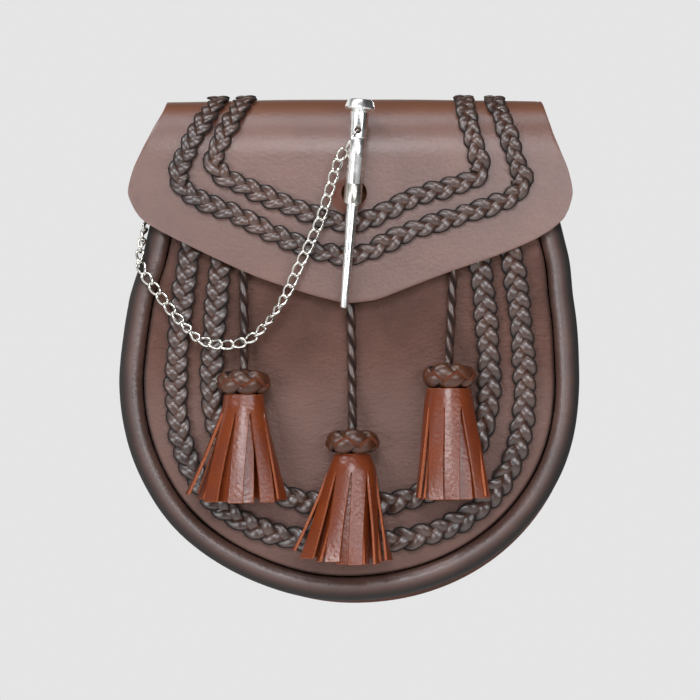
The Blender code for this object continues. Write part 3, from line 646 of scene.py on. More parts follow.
# %% A flat thong's section
# across and up, of a thong one wide and one thick: upright sides and a slightly crowned top
THONG_SECTION = (
    (0.5, -0.1), (0.4, 0.26), (0.17, 0.5), (-0.17, 0.5), (-0.4, 0.26),
    (-0.5, -0.1), (-0.43, -0.38), (-0.2, -0.5), (0.2, -0.5), (0.43, -0.38),
)


def thong_section(width, thickness):
    """A curve with the outline of a thong's cut end."""
    bpy.ops.mesh.primitive_circle_add(vertices=len(THONG_SECTION), radius=1)
    for vertex, (across, up) in zip(bpy.context.object.data.vertices, THONG_SECTION):
        vertex.co = (across * width, up * thickness, 0)
    bpy.ops.object.convert(target="CURVE")
    return bpy.context.object


def swept(section, paths):
    """One mesh of thongs swept along paths of (x, y, z, bank, size)."""
    curve = bpy.data.curves.new("thongs", "CURVE")
    curve.dimensions = "3D"
    curve.twist_mode = "Z_UP"
    curve.bevel_mode = "OBJECT"
    curve.bevel_object = section
    curve.use_fill_caps = True
    for path in paths:
        spline = curve.splines.new("POLY")
        spline.points.add(len(path) - 1)
        for point, (*place, bank, size) in zip(spline.points, path):
            point.co, point.tilt, point.radius = (*place, 1), bank, size
    piece = bpy.data.objects.new("thongs", curve)
    bpy.context.scene.collection.objects.link(piece)
    only(piece)
    bpy.ops.object.convert(target="MESH")
    bpy.data.objects.remove(section)
    return piece


# %% The three marks
def mark_thongs(piece, lowest, highest):
    """Marks a swept mesh, whose rings of points repeat the section, while it is still flat."""
    piece.data.attributes.new("thong_marks", "FLOAT_VECTOR", "POINT")
    piece.data.attributes.new("thong_groove", "FLOAT", "POINT")
    marks, groove = (piece.data.attributes[name].data for name in ("thong_marks", "thong_groove"))
    reach = max(abs(vertex.co.x) for vertex in piece.data.vertices)
    for number, vertex in enumerate(piece.data.vertices):
        groove[number].value = 1 - abs(vertex.co.x) / reach
        across = 2 * THONG_SECTION[-number % len(THONG_SECTION)][0]
        marks[number].vector = (across, (vertex.co.z - lowest) / (highest - lowest), vertex.co.y)


# %% Three strands, over and under
STRANDS = 3
POINTED = 0.93  # 0 would swing like a sine, 1 goes straight from side to side
SQUEEZED = 0.18  # a thong is that much narrower where it goes under
# how much hand work wanders, and how often in a metre, in radians
SLOW_WANDER, FAST_WANDER = (0.09, 310), (0.06, 830)


def plait_paths(along, phase, half_swing, half_rise, middle, bank, seed):
    """The strands' paths for the given distances along the plait and the turns made by then."""
    wander = random.Random(seed)
    paths = []
    for strand in range(STRANDS):
        starts = [wander.uniform(0, 6), wander.uniform(0, 6)]
        path = []
        for y, turn in zip(along, phase):
            angle = turn + 2 * math.pi * strand / STRANDS
            uneven = 0.0
            for (much, often), start in zip((SLOW_WANDER, FAST_WANDER), starts):
                uneven += much * math.sin(y * often + start)
            swing = math.asin(POINTED * math.sin(angle)) / math.asin(POINTED)
            x = half_swing * swing * (1 + uneven)
            z = middle + half_rise * math.sin(2 * angle) * (1 + uneven)
            size = 1 + uneven + SQUEEZED * math.cos(2 * (angle - math.pi / 4))
            path.append((x, y, z, bank * math.sin(angle) * (1 + 3 * uneven), size))
        paths.append(path)
    return paths


# %% [markdown]
# ## The tassels' cords
# Each tassel hangs on a cord of two thongs twisted round each other. The cord is twisted
# straight, as two helices whose thongs always face outwards, and then bent along its route.

# %% Where the cords run
# side, where the cord comes out from under the flap, and its knot
TASSELS = (
    ("left", (-43.9, -8.0), (-43.1, -44.7)),
    ("middle", (0.2, -17.0), (1.2, -68.9)),
    ("right", (42.4, -8.0), (40.6, -42.2)),
)
CORD_RADIUS = 1.9 * MM
CORD_HIDDEN = 14.0 * MM
CORD_LEAN = 18.0 * MM
CORD_ENTRY = 1.3 * MM
KNOT_Y = -45.6 * MM
KNOT_HALF_WIDTH = 11.0 * MM
KNOT_HALF_HEIGHT = 5.8 * MM
KNOT_FLATNESS = 0.74


def cord_route(top, knot):
    """From under the flap, down the front panel, then forward into the knot."""
    (x, z), knot_x, knot_top = Vector(top) * MM, knot[0] * MM, knot[1] * MM + KNOT_HALF_HEIGHT
    route = []
    for height in (z + CORD_HIDDEN, z + CORD_HIDDEN / 2, z, knot_top + CORD_LEAN):
        across = x + (knot_x - x) * (z + CORD_HIDDEN - height) / (z + CORD_HIDDEN - knot_top)
        route.append((across, panel_face(across, height).y - CORD_RADIUS - 1.5 * GAP, height))
    for height in (knot_top + CORD_RADIUS, knot_top - CORD_RADIUS / 2):
        route.append((knot_x, KNOT_Y + CORD_ENTRY, height))
    return smooth(route, CORD_POINTS)


# %% Twist a cord and bend it
CORD_TURN = 16.4 * MM  # the length of one whole turn
CORD_CORE = 0.95 * MM  # from the cord's middle to a thong's middle
CORD_THONG = 3.1 * MM, 2.0 * MM
CORD_POINTS, CORD_STEPS = 90, 110  # of its route, and of each thong
CORD_IN_GROOVE = 0.65  # its thongs' sides look like those halfway to a plait's middle


def cord(side, top, knot):
    route = cord_route(top, knot)
    length = length_of(route)
    paths = []
    for half in (0, math.pi):
        path = []
        for y in np.linspace(0, length, CORD_STEPS):
            angle = half - 2 * math.pi * y / CORD_TURN
            x, z = CORD_CORE * math.cos(angle), CORD_CORE * math.sin(angle)
            path.append((x, y, z, math.pi / 2 - angle, 1 + 0.05 * math.sin(y * 900 + half)))
        paths.append(path)
    piece = swept(thong_section(*CORD_THONG), paths)
    mark_thongs(piece, -CORD_RADIUS, CORD_RADIUS)
    # the height mark follows the distance from the cord's middle, so painted shade darkens the
    # thongs towards the core, and their sides get a mix of raw colour and painted shade
    for vertex, item in zip(piece.data.vertices, piece.data.attributes["thong_marks"].data):
        out = math.hypot(vertex.co.x, vertex.co.z) / CORD_RADIUS
        item.vector = (item.vector.x, out * 1.3 - 0.5, vertex.co.y)
    for item in piece.data.attributes["thong_groove"].data:
        item.value = CORD_IN_GROOVE
    runs = directions(route)

    def place(x, y, z):
        centre, run = (Vector(between_rows(rows, y / length)) for rows in (route, runs))
        run.normalize()
        front = to_front(run)
        return centre + front.cross(run) * x + front * z

    bend(piece, place)
    edit(piece, OUTWARD)
    done(piece, "cord_" + side, [thong_leather], ["tassel_cord_" + side], 60)
    return piece, route, length


cords = {side: cord(side, top, knot) for side, top, knot in TASSELS}
print({side: round(length / MM) for side, (_, _, length) in cords.items()}, "mm long")

# %% [markdown]
# ## Turk's head knots
# The knot over each tassel is a Turk's head: a plait whose end meets its beginning round a
# barrel. So it is the same three-strand plait, on wider thongs. It is bent round with
# its length as the angle, its width as the height on the barrel and its thickness outwards.

# %% Knots
KNOT_BIGHTS = 6  # a thong comes to the rim this many times round
KNOT_THONG = 5.2 * MM, 1.3 * MM
KNOT_SWING, KNOT_RISE = 3.7 * MM, 0.55 * MM
KNOT_ROUND = 5.2 * MM  # the radius of the barrel's bulge
KNOT_LIES_OUT = 0.3 * MM  # how far the plait's middle lies outside the barrel
KNOT_DOME = 0.88, 0.16  # the barrel's height at its sides, and what front and back add to it
KNOT_BANK = math.radians(14)
KNOT_STEPS = 150
KNOT_TURNED = {"left": 0.5, "middle": 1.1, "right": 0.2}


def knot(side, centre_x, centre_z):
    ring = KNOT_HALF_WIDTH - KNOT_ROUND - 1.5 * MM
    length = 2 * math.pi * (ring + KNOT_ROUND)
    along = np.linspace(0, length, KNOT_STEPS)
    phase = 2 * math.pi * KNOT_BIGHTS / STRANDS * along / length + KNOT_TURNED[side]
    paths = plait_paths(along, phase, KNOT_SWING, KNOT_RISE, KNOT_LIES_OUT, KNOT_BANK, len(side))
    work = swept(thong_section(*KNOT_THONG), paths)
    mark_thongs(work, -1.0 * MM, 1.1 * MM)
    centre = Vector((centre_x * MM, KNOT_Y, centre_z * MM))

    def place(x, y, z):
        angle, latitude = 2 * math.pi * y / length, x / KNOT_ROUND
        out = ring + (KNOT_ROUND + z) * math.cos(latitude)
        dome = KNOT_DOME[0] + KNOT_DOME[1] * abs(math.cos(angle))
        up = (KNOT_ROUND + z) * math.sin(latitude) * dome
        return centre + Vector((out * math.sin(angle), out * KNOT_FLATNESS * math.cos(angle), up))

    bend(work, place)
    edit(work, OUTWARD)
    bpy.ops.mesh.primitive_uv_sphere_add(segments=24, ring_count=12, radius=1, location=centre)
    core = bpy.context.object
    wide = ring + KNOT_ROUND
    core.scale = (wide, wide * KNOT_FLATNESS, KNOT_ROUND - 0.3 * MM)
    finishes = (knot_leather, thong_edge)
    for number, piece in enumerate((work, applied(core))):
        give_finishes(piece, finishes, number)
    node = ["tassel_knot_" + side]
    return done(joined([work, core]), "knot_" + side, finishes, node, 60)


knots = {side: knot(side, *place) for side, _, place in TASSELS}

# %% [markdown]
# ## Tassel skirts
# A tassel starts as one strip of leather, slit into tails and rolled up under the knot. Some tails
# hang flat, some turn on edge and show their orange cut sides. So a flat grid is split
# along its columns below a plain head, gets its thickness, and is then rolled: near the top
# each point follows the roll, and towards the hem each tail goes its own way.

# %% The tails of each tassel
# hem's place across and in height, and the way the tail faces, from the back round by the left
OUTER_TAILS = {
    "left": (
        (-46.0, -92.0, 180), (-60.5, -90.0, -125), (-66.2, -90.4, -76), (-56.2, -93.5, -24),
        (-46.0, -94.0, -3), (-32.9, -93.6, 10), (-26.6, -92.4, 58), (-37.0, -92.0, 135),
    ),
    "middle": (
        (-5.0, -116.5, -165), (-23.0, -113.2, -78), (-17.2, -116.4, -22), (-6.6, -117.8, -3),
        (2.8, -119.0, 4), (12.0, -118.7, 74), (16.9, -117.2, 68), (7.0, -116.5, 160),
    ),
    "right": (
        (43.0, -91.0, -170), (33.0, -91.3, -130), (27.6, -91.8, -78), (35.6, -92.6, -5),
        (42.2, -92.5, 0), (54.6, -91.9, 20), (57.0, -91.2, 75), (50.0, -91.0, 140),
    ),
}
INNER_TAILS = {
    "left": (
        (-52.0, -92.5, -155), (-58.5, -91.5, -110), (-60.8, -92.3, -62), (-51.4, -93.4, -36),
        (-41.6, -93.8, 3), (-29.8, -93.0, 40), (-31.5, -92.0, 80), (-42.0, -92.3, 150),
    ),
    "middle": (
        (-13.0, -116.0, -140), (-16.5, -115.8, -105), (-12.8, -117.7, -72), (-2.0, -118.7, -6),
        (7.6, -118.8, 76), (14.0, -117.6, 80), (10.0, -116.5, 130), (0.0, -116.5, 180),
    ),
    "right": (
        (40.0, -91.3, -150), (29.8, -91.9, -80), (32.6, -92.3, -8), (39.0, -92.2, -5),
        (47.4, -92.4, 4), (52.0, -91.8, 30), (53.0, -91.2, 110), (46.0, -91.0, 165),
    ),
}
# half width under the knot, how fast the head widens, and how far the roll is turned
SKIRT_TOPS = {"left": (8.2, 0.12, 0.0), "middle": (7.3, 0.42, 22.5), "right": (9.0, 0.2, 11.0)}
SKIRT_FLATNESS = 0.72
SKIRT_THICKNESS = 1.25 * MM
SKIRT_HEAD = 5.4 * MM
SKIRT_LAYER = 2.0 * MM
SKIRT_OVERLAP = 0.8 * MM  # how far the skirt reaches up into the knot
SKIRT_MERGED = 0.02 * MM  # points nearer than that become one
TAIL_WIDTH = 6.1 * MM
TAIL_BOW = 0.6 * MM
HEM_Y = -50.5 * MM
HEM_DEPTH = 9.0 * MM
INNER_DEPTH = 0.72
TAIL_COLUMNS, TAIL_ROWS = 4, 26


# %% Slit a strip
def roll_angles(half_width, half_depth, steps=720):
    """Shares of the way round an ellipse, the angle at each, and the whole way round."""
    angles = np.linspace(-math.pi, math.pi, steps + 1)
    run = np.hypot(half_width * np.cos(angles), half_depth * np.sin(angles))
    along = np.cumsum([0.0, *(run[1:] + run[:-1]) / 2])
    return along / along[-1], angles, along[-1] * 2 * math.pi / steps


def slit_sheet(count, width, length):
    """A flat strip of leather, slit into tails below its head."""
    columns = count * TAIL_COLUMNS
    bpy.ops.mesh.primitive_grid_add(x_subdivisions=columns, y_subdivisions=TAIL_ROWS, size=1)
    sheet = bpy.context.object
    for vertex in sheet.data.vertices:
        vertex.co = (vertex.co.x * width, (vertex.co.y - 0.5) * length, 0)
    pitch = width / count

    def slit(a, b):
        column = (a.x + width / 2) / pitch
        between_tails = abs(column - round(column)) < 0.01 and 0 < round(column) < count
        return abs(a.x - b.x) < pitch / 100 and between_tails and max(a.y, b.y) < -SKIRT_HEAD

    pick_edges(sheet, slit)
    bpy.ops.mesh.edge_split(type="EDGE")
    mode("OBJECT")
    tail = sheet.data.attributes.new("tail", "FLOAT", "POINT")
    for face in sheet.data.polygons:
        for index in face.vertices:
            tail.data[index].value = int((face.center.x + width / 2) / pitch)
    return sheet


# %% Roll one layer and let its tails fall
def skirt_layer(top, tails, half_width, flare, turned, seed):
    """One turn of the roll. Tails are (x, y, z, facing) of each hem, in metres and degrees."""
    half_depth = half_width * SKIRT_FLATNESS
    shares, angles, width = roll_angles(half_width, half_depth)
    length = top.z - min(tail[2] for tail in tails)
    count = len(tails)
    pitch = width / count
    sheet = slit_sheet(count, width, length)
    give_finishes(sheet, (tassel_leather, tassel_edge))
    modify(sheet, "SOLIDIFY", thickness=SKIRT_THICKNESS, offset=-1, material_offset_rim=1)
    bevel(sheet, 0.2 * MM, 60, segments=1)
    wander = random.Random(seed)
    bows = [Vector((wander.uniform(-1, 1), wander.uniform(-1, 1), 0)) * TAIL_BOW for _ in tails]
    for vertex, item in zip(sheet.data.vertices, sheet.data.attributes["tail"].data):
        x, y, z = vertex.co
        number = round(item.value)
        share = -y / length
        free = max(0.0, (share - SKIRT_HEAD / length) / (1 - SKIRT_HEAD / length))
        angle = np.interp((x / width + 0.5 - 0.5 / count + turned / 360) % 1, shares, angles)
        wider = z + flare * min(-y, SKIRT_HEAD)
        round_x = (half_width + wider) * math.sin(angle)
        round_y = (half_depth + wider) * math.cos(angle)
        head = top + Vector((round_x, -round_y, y))
        hem_x, hem_y, hem_z, facing = tails[number]
        sine, cosine = math.sin(math.radians(facing)), math.cos(math.radians(facing))
        off = (x + width / 2 - (number + 0.5) * pitch) * (1 + (TAIL_WIDTH / pitch - 1) * free)
        down = top.z + (hem_z - top.z) * share
        hem = Vector((hem_x + off * cosine + z * sine, hem_y + off * sine - z * cosine, down))
        vertex.co = head.lerp(hem, free) + bows[number] * math.sin(math.pi * free) * free
    edit(sheet, ("remove_doubles", {"threshold": SKIRT_MERGED}), OUTWARD)
    return sheet


# %% Both layers of each skirt
def placed_hems(rows, deep):
    """Hems on an ellipse seen from above, deep being the share of its depth that they reach."""
    xs = [row[0] * MM for row in rows]
    middle, reach = (min(xs) + max(xs)) / 2, (max(xs) - min(xs)) / 2 + 1.5 * MM
    hems = []
    for x, z, facing in rows:
        out = math.sqrt(max(0.0, 1 - ((x * MM - middle) / reach) ** 2))
        front = -1 if abs(facing) < 100 else 1
        hems.append((x * MM, HEM_Y + front * deep * HEM_DEPTH * out, z * MM, facing))
    return hems


def skirt(side, knot_x, knot_z):
    half_width, flare, turned = SKIRT_TOPS[side]
    top = Vector((knot_x * MM, KNOT_Y, knot_z * MM - KNOT_HALF_HEIGHT + SKIRT_OVERLAP))
    half_pitch = 180 / len(INNER_TAILS[side])
    outer, inner = placed_hems(OUTER_TAILS[side], 1.0), placed_hems(INNER_TAILS[side], INNER_DEPTH)
    layers = [
        skirt_layer(top, outer, half_width * MM, flare, turned, 3),
        skirt_layer(top, inner, half_width * MM - SKIRT_LAYER, flare, turned + half_pitch, 5),
    ]
    finishes, node = (tassel_leather, tassel_edge), ["tassel_skirt_" + side]
    return done(joined(layers), "skirt_" + side, finishes, node, 35)


skirts = {side: skirt(side, *place) for side, _, place in TASSELS}

for side, (piece, route, length) in cords.items():
    tuple(route[0])
    [tuple(point) for point in route]

# %% [markdown]
# ## A sheet of leather with a shaped outline
# The flap, the front and the back are each cut from flat hide. A grid is stretched between four
# edge lines, which keeps its squares even and its corners crisp. Solidify gives it thickness, the
# cut side gets its own material, and a small bevel rounds it as a burnisher does.

# %% Cut a sheet
def cut_sheet(sides, squares, thickness, finishes):
    """A flat sheet of leather between four edge lines. Its outer face is up, at height 0."""
    top, bottom, left, right = sides
    bpy.ops.mesh.primitive_grid_add(x_subdivisions=squares, y_subdivisions=squares, size=2)
    sheet = bpy.context.object
    places = np.array([vertex.co for vertex in sheet.data.vertices])
    u, t = (places[:, :1] + 1) / 2, (1 - places[:, 1:2]) / 2
    across = (1 - t) * at_shares(top, u[:, 0]) + t * at_shares(bottom, u[:, 0])
    down = (1 - u) * at_shares(left, t[:, 0]) + u * at_shares(right, t[:, 0])
    upper, lower = ((1 - u) * line[0] + u * line[-1] for line in (top, bottom))
    corners = (1 - t) * upper + t * lower
    for vertex, (x, y) in zip(sheet.data.vertices, across + down - corners):
        vertex.co = (x, y, 0)
    give_finishes(sheet, finishes)
    modify(sheet, "SOLIDIFY", thickness=thickness, offset=-1, material_offset_rim=1)
    return sheet


# %% [markdown]
# ## Front and back
# The front panel is domed by what is behind it. Hide also never lies perfectly even, so the front
# gets a slow swell of a third of a millimetre. The back is flat, because it lies on the wearer.

# %% Front panel
PANEL_THICKNESS = 2.0 * MM
PANEL_SWELL = 0.35 * MM
PANEL_BURNISHED = 0.45 * MM
SEAM_DEPTH = 0.7 * MM
SEAM_STARTS = ((-70, 0.984), (-23, 0.972), (8, 0.958))  # height, share of the way out


def bowl_sides(inset, bulges):
    """The outline as four edge lines. The lower corners are where it runs at 45 degrees."""
    outline = inset_line(inset, bulges)
    run = np.gradient(outline, axis=0)
    left, *_, right = np.flatnonzero(run[:, 0] > np.abs(run[:, 1]))
    return outline[[0, -1]], outline[left : right + 1], outline[: left + 1], outline[right:][::-1]


def towards_seam(x, z):
    """From 0 to 1 over the last stretch, where the panel is drawn down to its seam."""
    starts = np.interp(z / MM, *np.array(SEAM_STARTS).T)
    return min(1.0, max(0.0, (panel_reach(x, z) - starts) / (1 - starts))) ** 2


def on_panel(x, z, height):
    drawn = towards_seam(x, z)
    swell = PANEL_SWELL * noise.noise((x * 28, z * 28, 0)) * (1 - drawn)
    return above_face(panel_face, x, z, height + swell - SEAM_DEPTH * drawn)


front_sides = bowl_sides(PANEL_INSET, FRONT_BULGES)
front = cut_sheet(front_sides, 110, PANEL_THICKNESS, (front_leather, front_leather))
bevel(front, PANEL_BURNISHED, 50)
# how far each point is drawn down to the seam, which sets the painted seam shade
seam_shade_share = front.data.attributes.new("seam_shade_share", "FLOAT", "POINT")
for vertex, item in zip(front.data.vertices, seam_shade_share.data):
    item.value = towards_seam(*vertex.co.xy)
bend(front, on_panel)
done(front, "front_panel_leather", [front_leather], ["front_panel"])

# %% Back panel
back = cut_sheet(bowl_sides(0.0, BACK_BULGES), 40, BACK_THICKNESS, (back_leather, thong_edge))
bevel(back, PANEL_BURNISHED, 50)
bend(back, lambda x, z, height: Vector((x, height, z)))
edit(back, OUTWARD)
done(back, "back_panel_leather", [back_leather, thong_edge], ["back_panel"])

# %% [markdown]
# ## The gusset
# A narrow wall of leather joins the back to the rim and gives the pouch its depth. It is a grid
# whose length follows the outline and whose width runs from back to front.

# %% Gusset
GUSSET_THICKNESS = 1.5 * MM
GUSSET_INSET = 3.0 * MM
RIM_RADIUS = 4.9 * MM
RIM_Y = -31.5 * MM
into_rim = RIM_RADIUS - GUSSET_INSET - GUSSET_THICKNESS / 2
gusset_back = -BACK_THICKNESS - GAP
gusset_front = RIM_Y + math.sqrt(RIM_RADIUS**2 - into_rim**2) + GAP
gusset_line = inset_line(GUSSET_INSET)

bpy.ops.mesh.primitive_grid_add(x_subdivisions=160, y_subdivisions=8, size=1)
gusset = bpy.context.object
for vertex in gusset.data.vertices:
    x, z = between_rows(gusset_line, vertex.co.x + 0.5)
    vertex.co = (x, gusset_back + (gusset_front - gusset_back) * (vertex.co.y + 0.5), z)
modify(gusset, "SOLIDIFY", thickness=GUSSET_THICKNESS, offset=-1, use_even_offset=True)
bevel(gusset, 0.25 * MM, 50)
edit(gusset, OUTWARD)
done(gusset, "gusset_leather", [back_leather], ["gusset"])

# %% [markdown]
# ## The rolled rim
# Soft leather is rolled over a cord and sewn down, and the roll puckers against the seam, because
# its inner side is shorter than its outer side. The roll is a long cylinder whose length follows
# the outline. Small folds run across it. They are deepest at the seam, where it is gathered,
# and fade towards the outside. The outside is dull, and its colour goes nearly black there as
# painted shade, where the roll turns away from the light.

# %% Rim leather
# painted shade on the rim's outer side
OUTER_FLANK_SHADE = (0.008, 0.005, 0.004)
RIM_FOLDS = (620, 60, 1)

rim_leather = leather(
    "rim_leather", (0.06, 0.027, 0.019), (0.12, 0.056, 0.041), 0.42, grain=0.4, gloss=0.85
)
rim_marks = rim_leather.mark("rim_place", "Vector")
round_rim, gathered = rim_leather.axis(rim_marks, "Y"), rim_leather.axis(rim_marks, "Z")
# how far round towards the outside, where the painted shade comes in
flank_shade = rim_leather.between(round_rim, 7.6 * MM, 11.8 * MM, 0.0, 0.95)
rim_leather.shade(
    {
        "Base Color": rim_leather.mix(flank_shade, rim_leather.colour, OUTER_FLANK_SHADE),
        "Roughness": rim_leather.between(round_rim, 6.0 * MM, 10.0 * MM, 0.4, 0.95),
        "Coat Weight": rim_leather.between(round_rim, 5.0 * MM, 9.0 * MM, 0.45, 0.0),
    }
)
folds = rim_leather.noise(rim_leather.stretched(rim_marks, RIM_FOLDS), 1.0, 3.0, 0.6)
strength = rim_leather.between(gathered, 0.0, 1.0, 0.15, 1.0)
rim_leather.bump(rim_leather.math("MULTIPLY", folds, strength), 0.7, 0.0006)

# %% Roll the rim
RIM_AROUND = 28
RIM_STEPS = 420
PUCKER = 0.22 * MM
UNEVEN_ROLL = 0.2 * MM
FOLD_SLANT = 1.6 * MM
WIDE_FOLDS, NARROW_FOLDS, SLOW_WAVES = 260, 610, 40  # how fast each noise goes, a metre
PLAIN_ENDS = 1 / 30  # share of the rim over which the puckers grow from each end
SEAM_ANGLE = math.radians(50)  # from straight inwards towards the front

rim_line = inset_line(RIM_RADIUS, FRONT_BULGES)
rim_length = length_of(rim_line)
rim_run = directions(rim_line)
bpy.ops.mesh.primitive_cylinder_add(vertices=RIM_AROUND, radius=1, depth=1, end_fill_type="NGON")
rim = bpy.context.object
pick_edges(rim, lambda a, b: abs(a.z - b.z) > 0.5)
bpy.ops.mesh.subdivide_edgering(number_cuts=RIM_STEPS, interpolation="LINEAR")
mode("OBJECT")
rim_place = rim.data.attributes.new("rim_place", "FLOAT_VECTOR", "POINT")
for vertex, item in zip(rim.data.vertices, rim_place.data):
    share = vertex.co.z + 0.5
    angle = math.atan2(vertex.co.y, vertex.co.x)  # 0 is inwards, and a quarter turn is the front
    gather = max(0.0, math.cos(angle - SEAM_ANGLE / 2)) ** 2
    along = share * rim_length
    slant = along + FOLD_SLANT * angle  # the folds run across the roll on a slant
    wide = 3 * abs(noise.noise((slant * WIDE_FOLDS, angle * 0.5, 3.0)))
    narrow = 1.5 * abs(noise.noise((slant * NARROW_FOLDS, angle, 8.0)))
    left_side = min(1.0, max(0.0, 2.2 - 6 * share))  # which is gathered most
    fold = max(0.0, 1 - wide - narrow) * (0.35 + 0.65 * left_side)
    slow = UNEVEN_ROLL * noise.noise((along * SLOW_WAVES, angle * 0.6, 1.0))
    ends = min(1.0, share / PLAIN_ENDS, (1 - share) / PLAIN_ENDS)
    radius = RIM_RADIUS + (slow - PUCKER * (0.25 + gather) * fold) * ends
    item.vector = (along, angle * RIM_RADIUS, gather)
    (x, z), (run_x, run_z) = (between_rows(rows, share) for rows in (rim_line, rim_run))
    inward = radius * math.cos(angle)
    vertex.co = (x - run_z * inward, RIM_Y - radius * math.sin(angle), z + run_x * inward)
edit(rim, OUTWARD)
done(rim, "rolled_rim_leather", [rim_leather], ["rolled_rim"], 60)

# %% [markdown]
# ## The flap
# The flap is one piece of hide. Its outline is drawn flat: a straight tail for the back, sides that
# spread, and a lower edge that comes to a blunt point. The slot for the staple is cut with a
# Boolean, and then the sheet is folded over the pouch.

# %% The flap's outline
FLAP_THICKNESS = 2.5 * MM
TAIL_HALF_WIDTH = 76.0 * MM
TAIL_Z = 30.0 * MM
# height on the front, left edge, right edge
FLAP_SIDES = (
    (68.9, -76.3, 79.5), (59.0, -81.2, 82.8), (50.8, -85.3, 86.1), (42.6, -89.0, 89.4),
    (34.4, -91.0, 91.2), (30.3, -90.2, 90.8), (26.2, -88.2, 89.6),
)
# across, height
FLAP_POINT = (
    (-84.9, 22.1), (-77.0, 17.2), (-59.0, 8.2), (-39.4, -0.8), (-20.1, -7.4), (-5.0, -11.5),
    (0.0, -12.1), (5.0, -11.7), (12.3, -10.4), (25.4, -5.3), (41.8, 0.9), (61.1, 7.6),
    (77.5, 14.8), (86.6, 21.4),
)
flap_tail = FOLD_QUARTER + FOLD_Z - TAIL_Z
flap_edges = []
for column, way in ((1, -1), (2, 1)):
    points = [(way * TAIL_HALF_WIDTH, y) for y in (flap_tail, FOLD_QUARTER, FOLD_QUARTER / 2)]
    points += [(row[column] * MM, on_front(row[0])) for row in FLAP_SIDES]
    flap_edges.append(smooth(points, FINE_POINTS))
flap_left, flap_right = flap_edges
flap_point = [(x * MM, on_front(height)) for x, height in FLAP_POINT]
flap_bottom = smooth([flap_left[-1], *flap_point, flap_right[-1]], FINE_POINTS)
flap_top = np.array([flap_left[0], flap_right[0]])

# %% Cut and fold the flap
SLOT_X = 1.9 * MM
SLOT_Z = 32.8  # in millimetres, as on_front wants it
SLOT_SIZE = (10.4 * MM, 10.6 * MM, 1)
FLAP_SWELL = 0.3 * MM

flap_finishes = (flap_leather, flap_edge)
flap = cut_sheet((flap_top, flap_bottom, *flap_edges), 110, FLAP_THICKNESS, flap_finishes)
slot_place = (SLOT_X, on_front(SLOT_Z), 0)
bpy.ops.mesh.primitive_cylinder_add(vertices=48, radius=0.5, depth=20 * MM, location=slot_place)
punch = bpy.context.object
punch.scale = SLOT_SIZE
give_finishes(applied(punch), flap_finishes, 1)
cut_out(flap, punch)
bevel(flap, 0.8 * MM, 50, material=1)


def on_flap(x, y, height):
    swell = FLAP_SWELL * noise.noise((x * 24, y * 24, 5))
    return above_face(flap_face, x, y, height + swell)


bend(flap, on_flap)
done(flap, "flap_leather_sheet", flap_finishes, ["flap"])

# %% [markdown]
# ## The laced plaits
# Four plaits are laced on: two on the flap and two on the front. Each is plaited in one go
# from its left end to its right end, so its lobes all point the same way along it. The
# lacing is pulled tighter on the flap's short sides, so the lobes are closer there.

# %% Lay a plait along a line
PLAIT_STEP = 0.9 * MM
PLAIT_THONG = 0.46  # a thong's share of the plait's width
PLAIT_THICKNESS = 1.5 * MM
PLAIT_MORE = 0.15 * MM  # what a strand rises and falls beyond the plait's even height
PLAIT_BANK = math.radians(9)
BRAID_GAP = 0.5 * MM
BRAID_HEIGHT = 2.7 * MM


def laid_plait(name, face, route, width, lobes, seed, pressed=lambda b: 1.0):
    """A plait along a flat route. Lobes are (distance from the middle, lobe's length)."""
    length = length_of(route)
    along = np.linspace(0, length, round(length / PLAIT_STEP))
    distance, lobe = np.array(lobes).T * MM
    rate = 2 * math.pi / (STRANDS * np.interp(np.abs(along - length / 2), distance, lobe))
    turned = np.cumsum([0.0, *((rate[1:] + rate[:-1]) / 2 * np.diff(along))])
    thong, rise = PLAIT_THONG * width, (BRAID_HEIGHT - PLAIT_THICKNESS) / 2 + PLAIT_MORE
    middle = BRAID_GAP + BRAID_HEIGHT / 2
    paths = plait_paths(along, -turned, (width - thong) / 2, rise, middle, -PLAIT_BANK, seed)
    piece = swept(thong_section(thong, PLAIT_THICKNESS), paths)
    mark_thongs(piece, BRAID_GAP, BRAID_GAP + BRAID_HEIGHT)
    fine = evenly(route, 3 * FINE_POINTS)
    runs = directions(fine)

    def place(x, y, z):
        (a, b), (da, db) = (between_rows(rows, y / length) for rows in (fine, runs))
        return above_face(face, a + x * db, b - x * da, z * pressed(b))

    bend(piece, place)
    edit(piece, OUTWARD)
    done(piece, name + "_plait", [thong_leather], [name], 60)


# %% Plaits on the front
# half width, how far below the widest level, roundness
FRONT_BRAIDS = {
    "front_braid_outer": (71.3, 66.4, 2.55),
    "front_braid_inner": (57.0, 51.2, 2.3),
}
FRONT_BRAID_TOP = 16.0 * MM
FRONT_BRAID_WIDTH = 10.0 * MM
FRONT_LOBES = ((0, 7.4), (70, 7.2), (120, 6.6))

for seed, (name, (half_width, below, roundness)) in enumerate(FRONT_BRAIDS.items()):
    route = pouch_line(half_width * MM, below * MM, roundness, FRONT_BRAID_TOP)
    laid_plait(name, panel_face, route, FRONT_BRAID_WIDTH, FRONT_LOBES, seed)

# %% Plaits on the flap
FLAP_BRAID_WIDTH = 8.6 * MM
FLAP_LOBES = ((0, 7.4), (60, 7.2), (85, 5.8))
BRAID_TAIL = 13.0 * MM
PRESSED, PRESSED_REACH = 0.65, 0.75 * FOLD_QUARTER  # how much flatter, and how far that goes
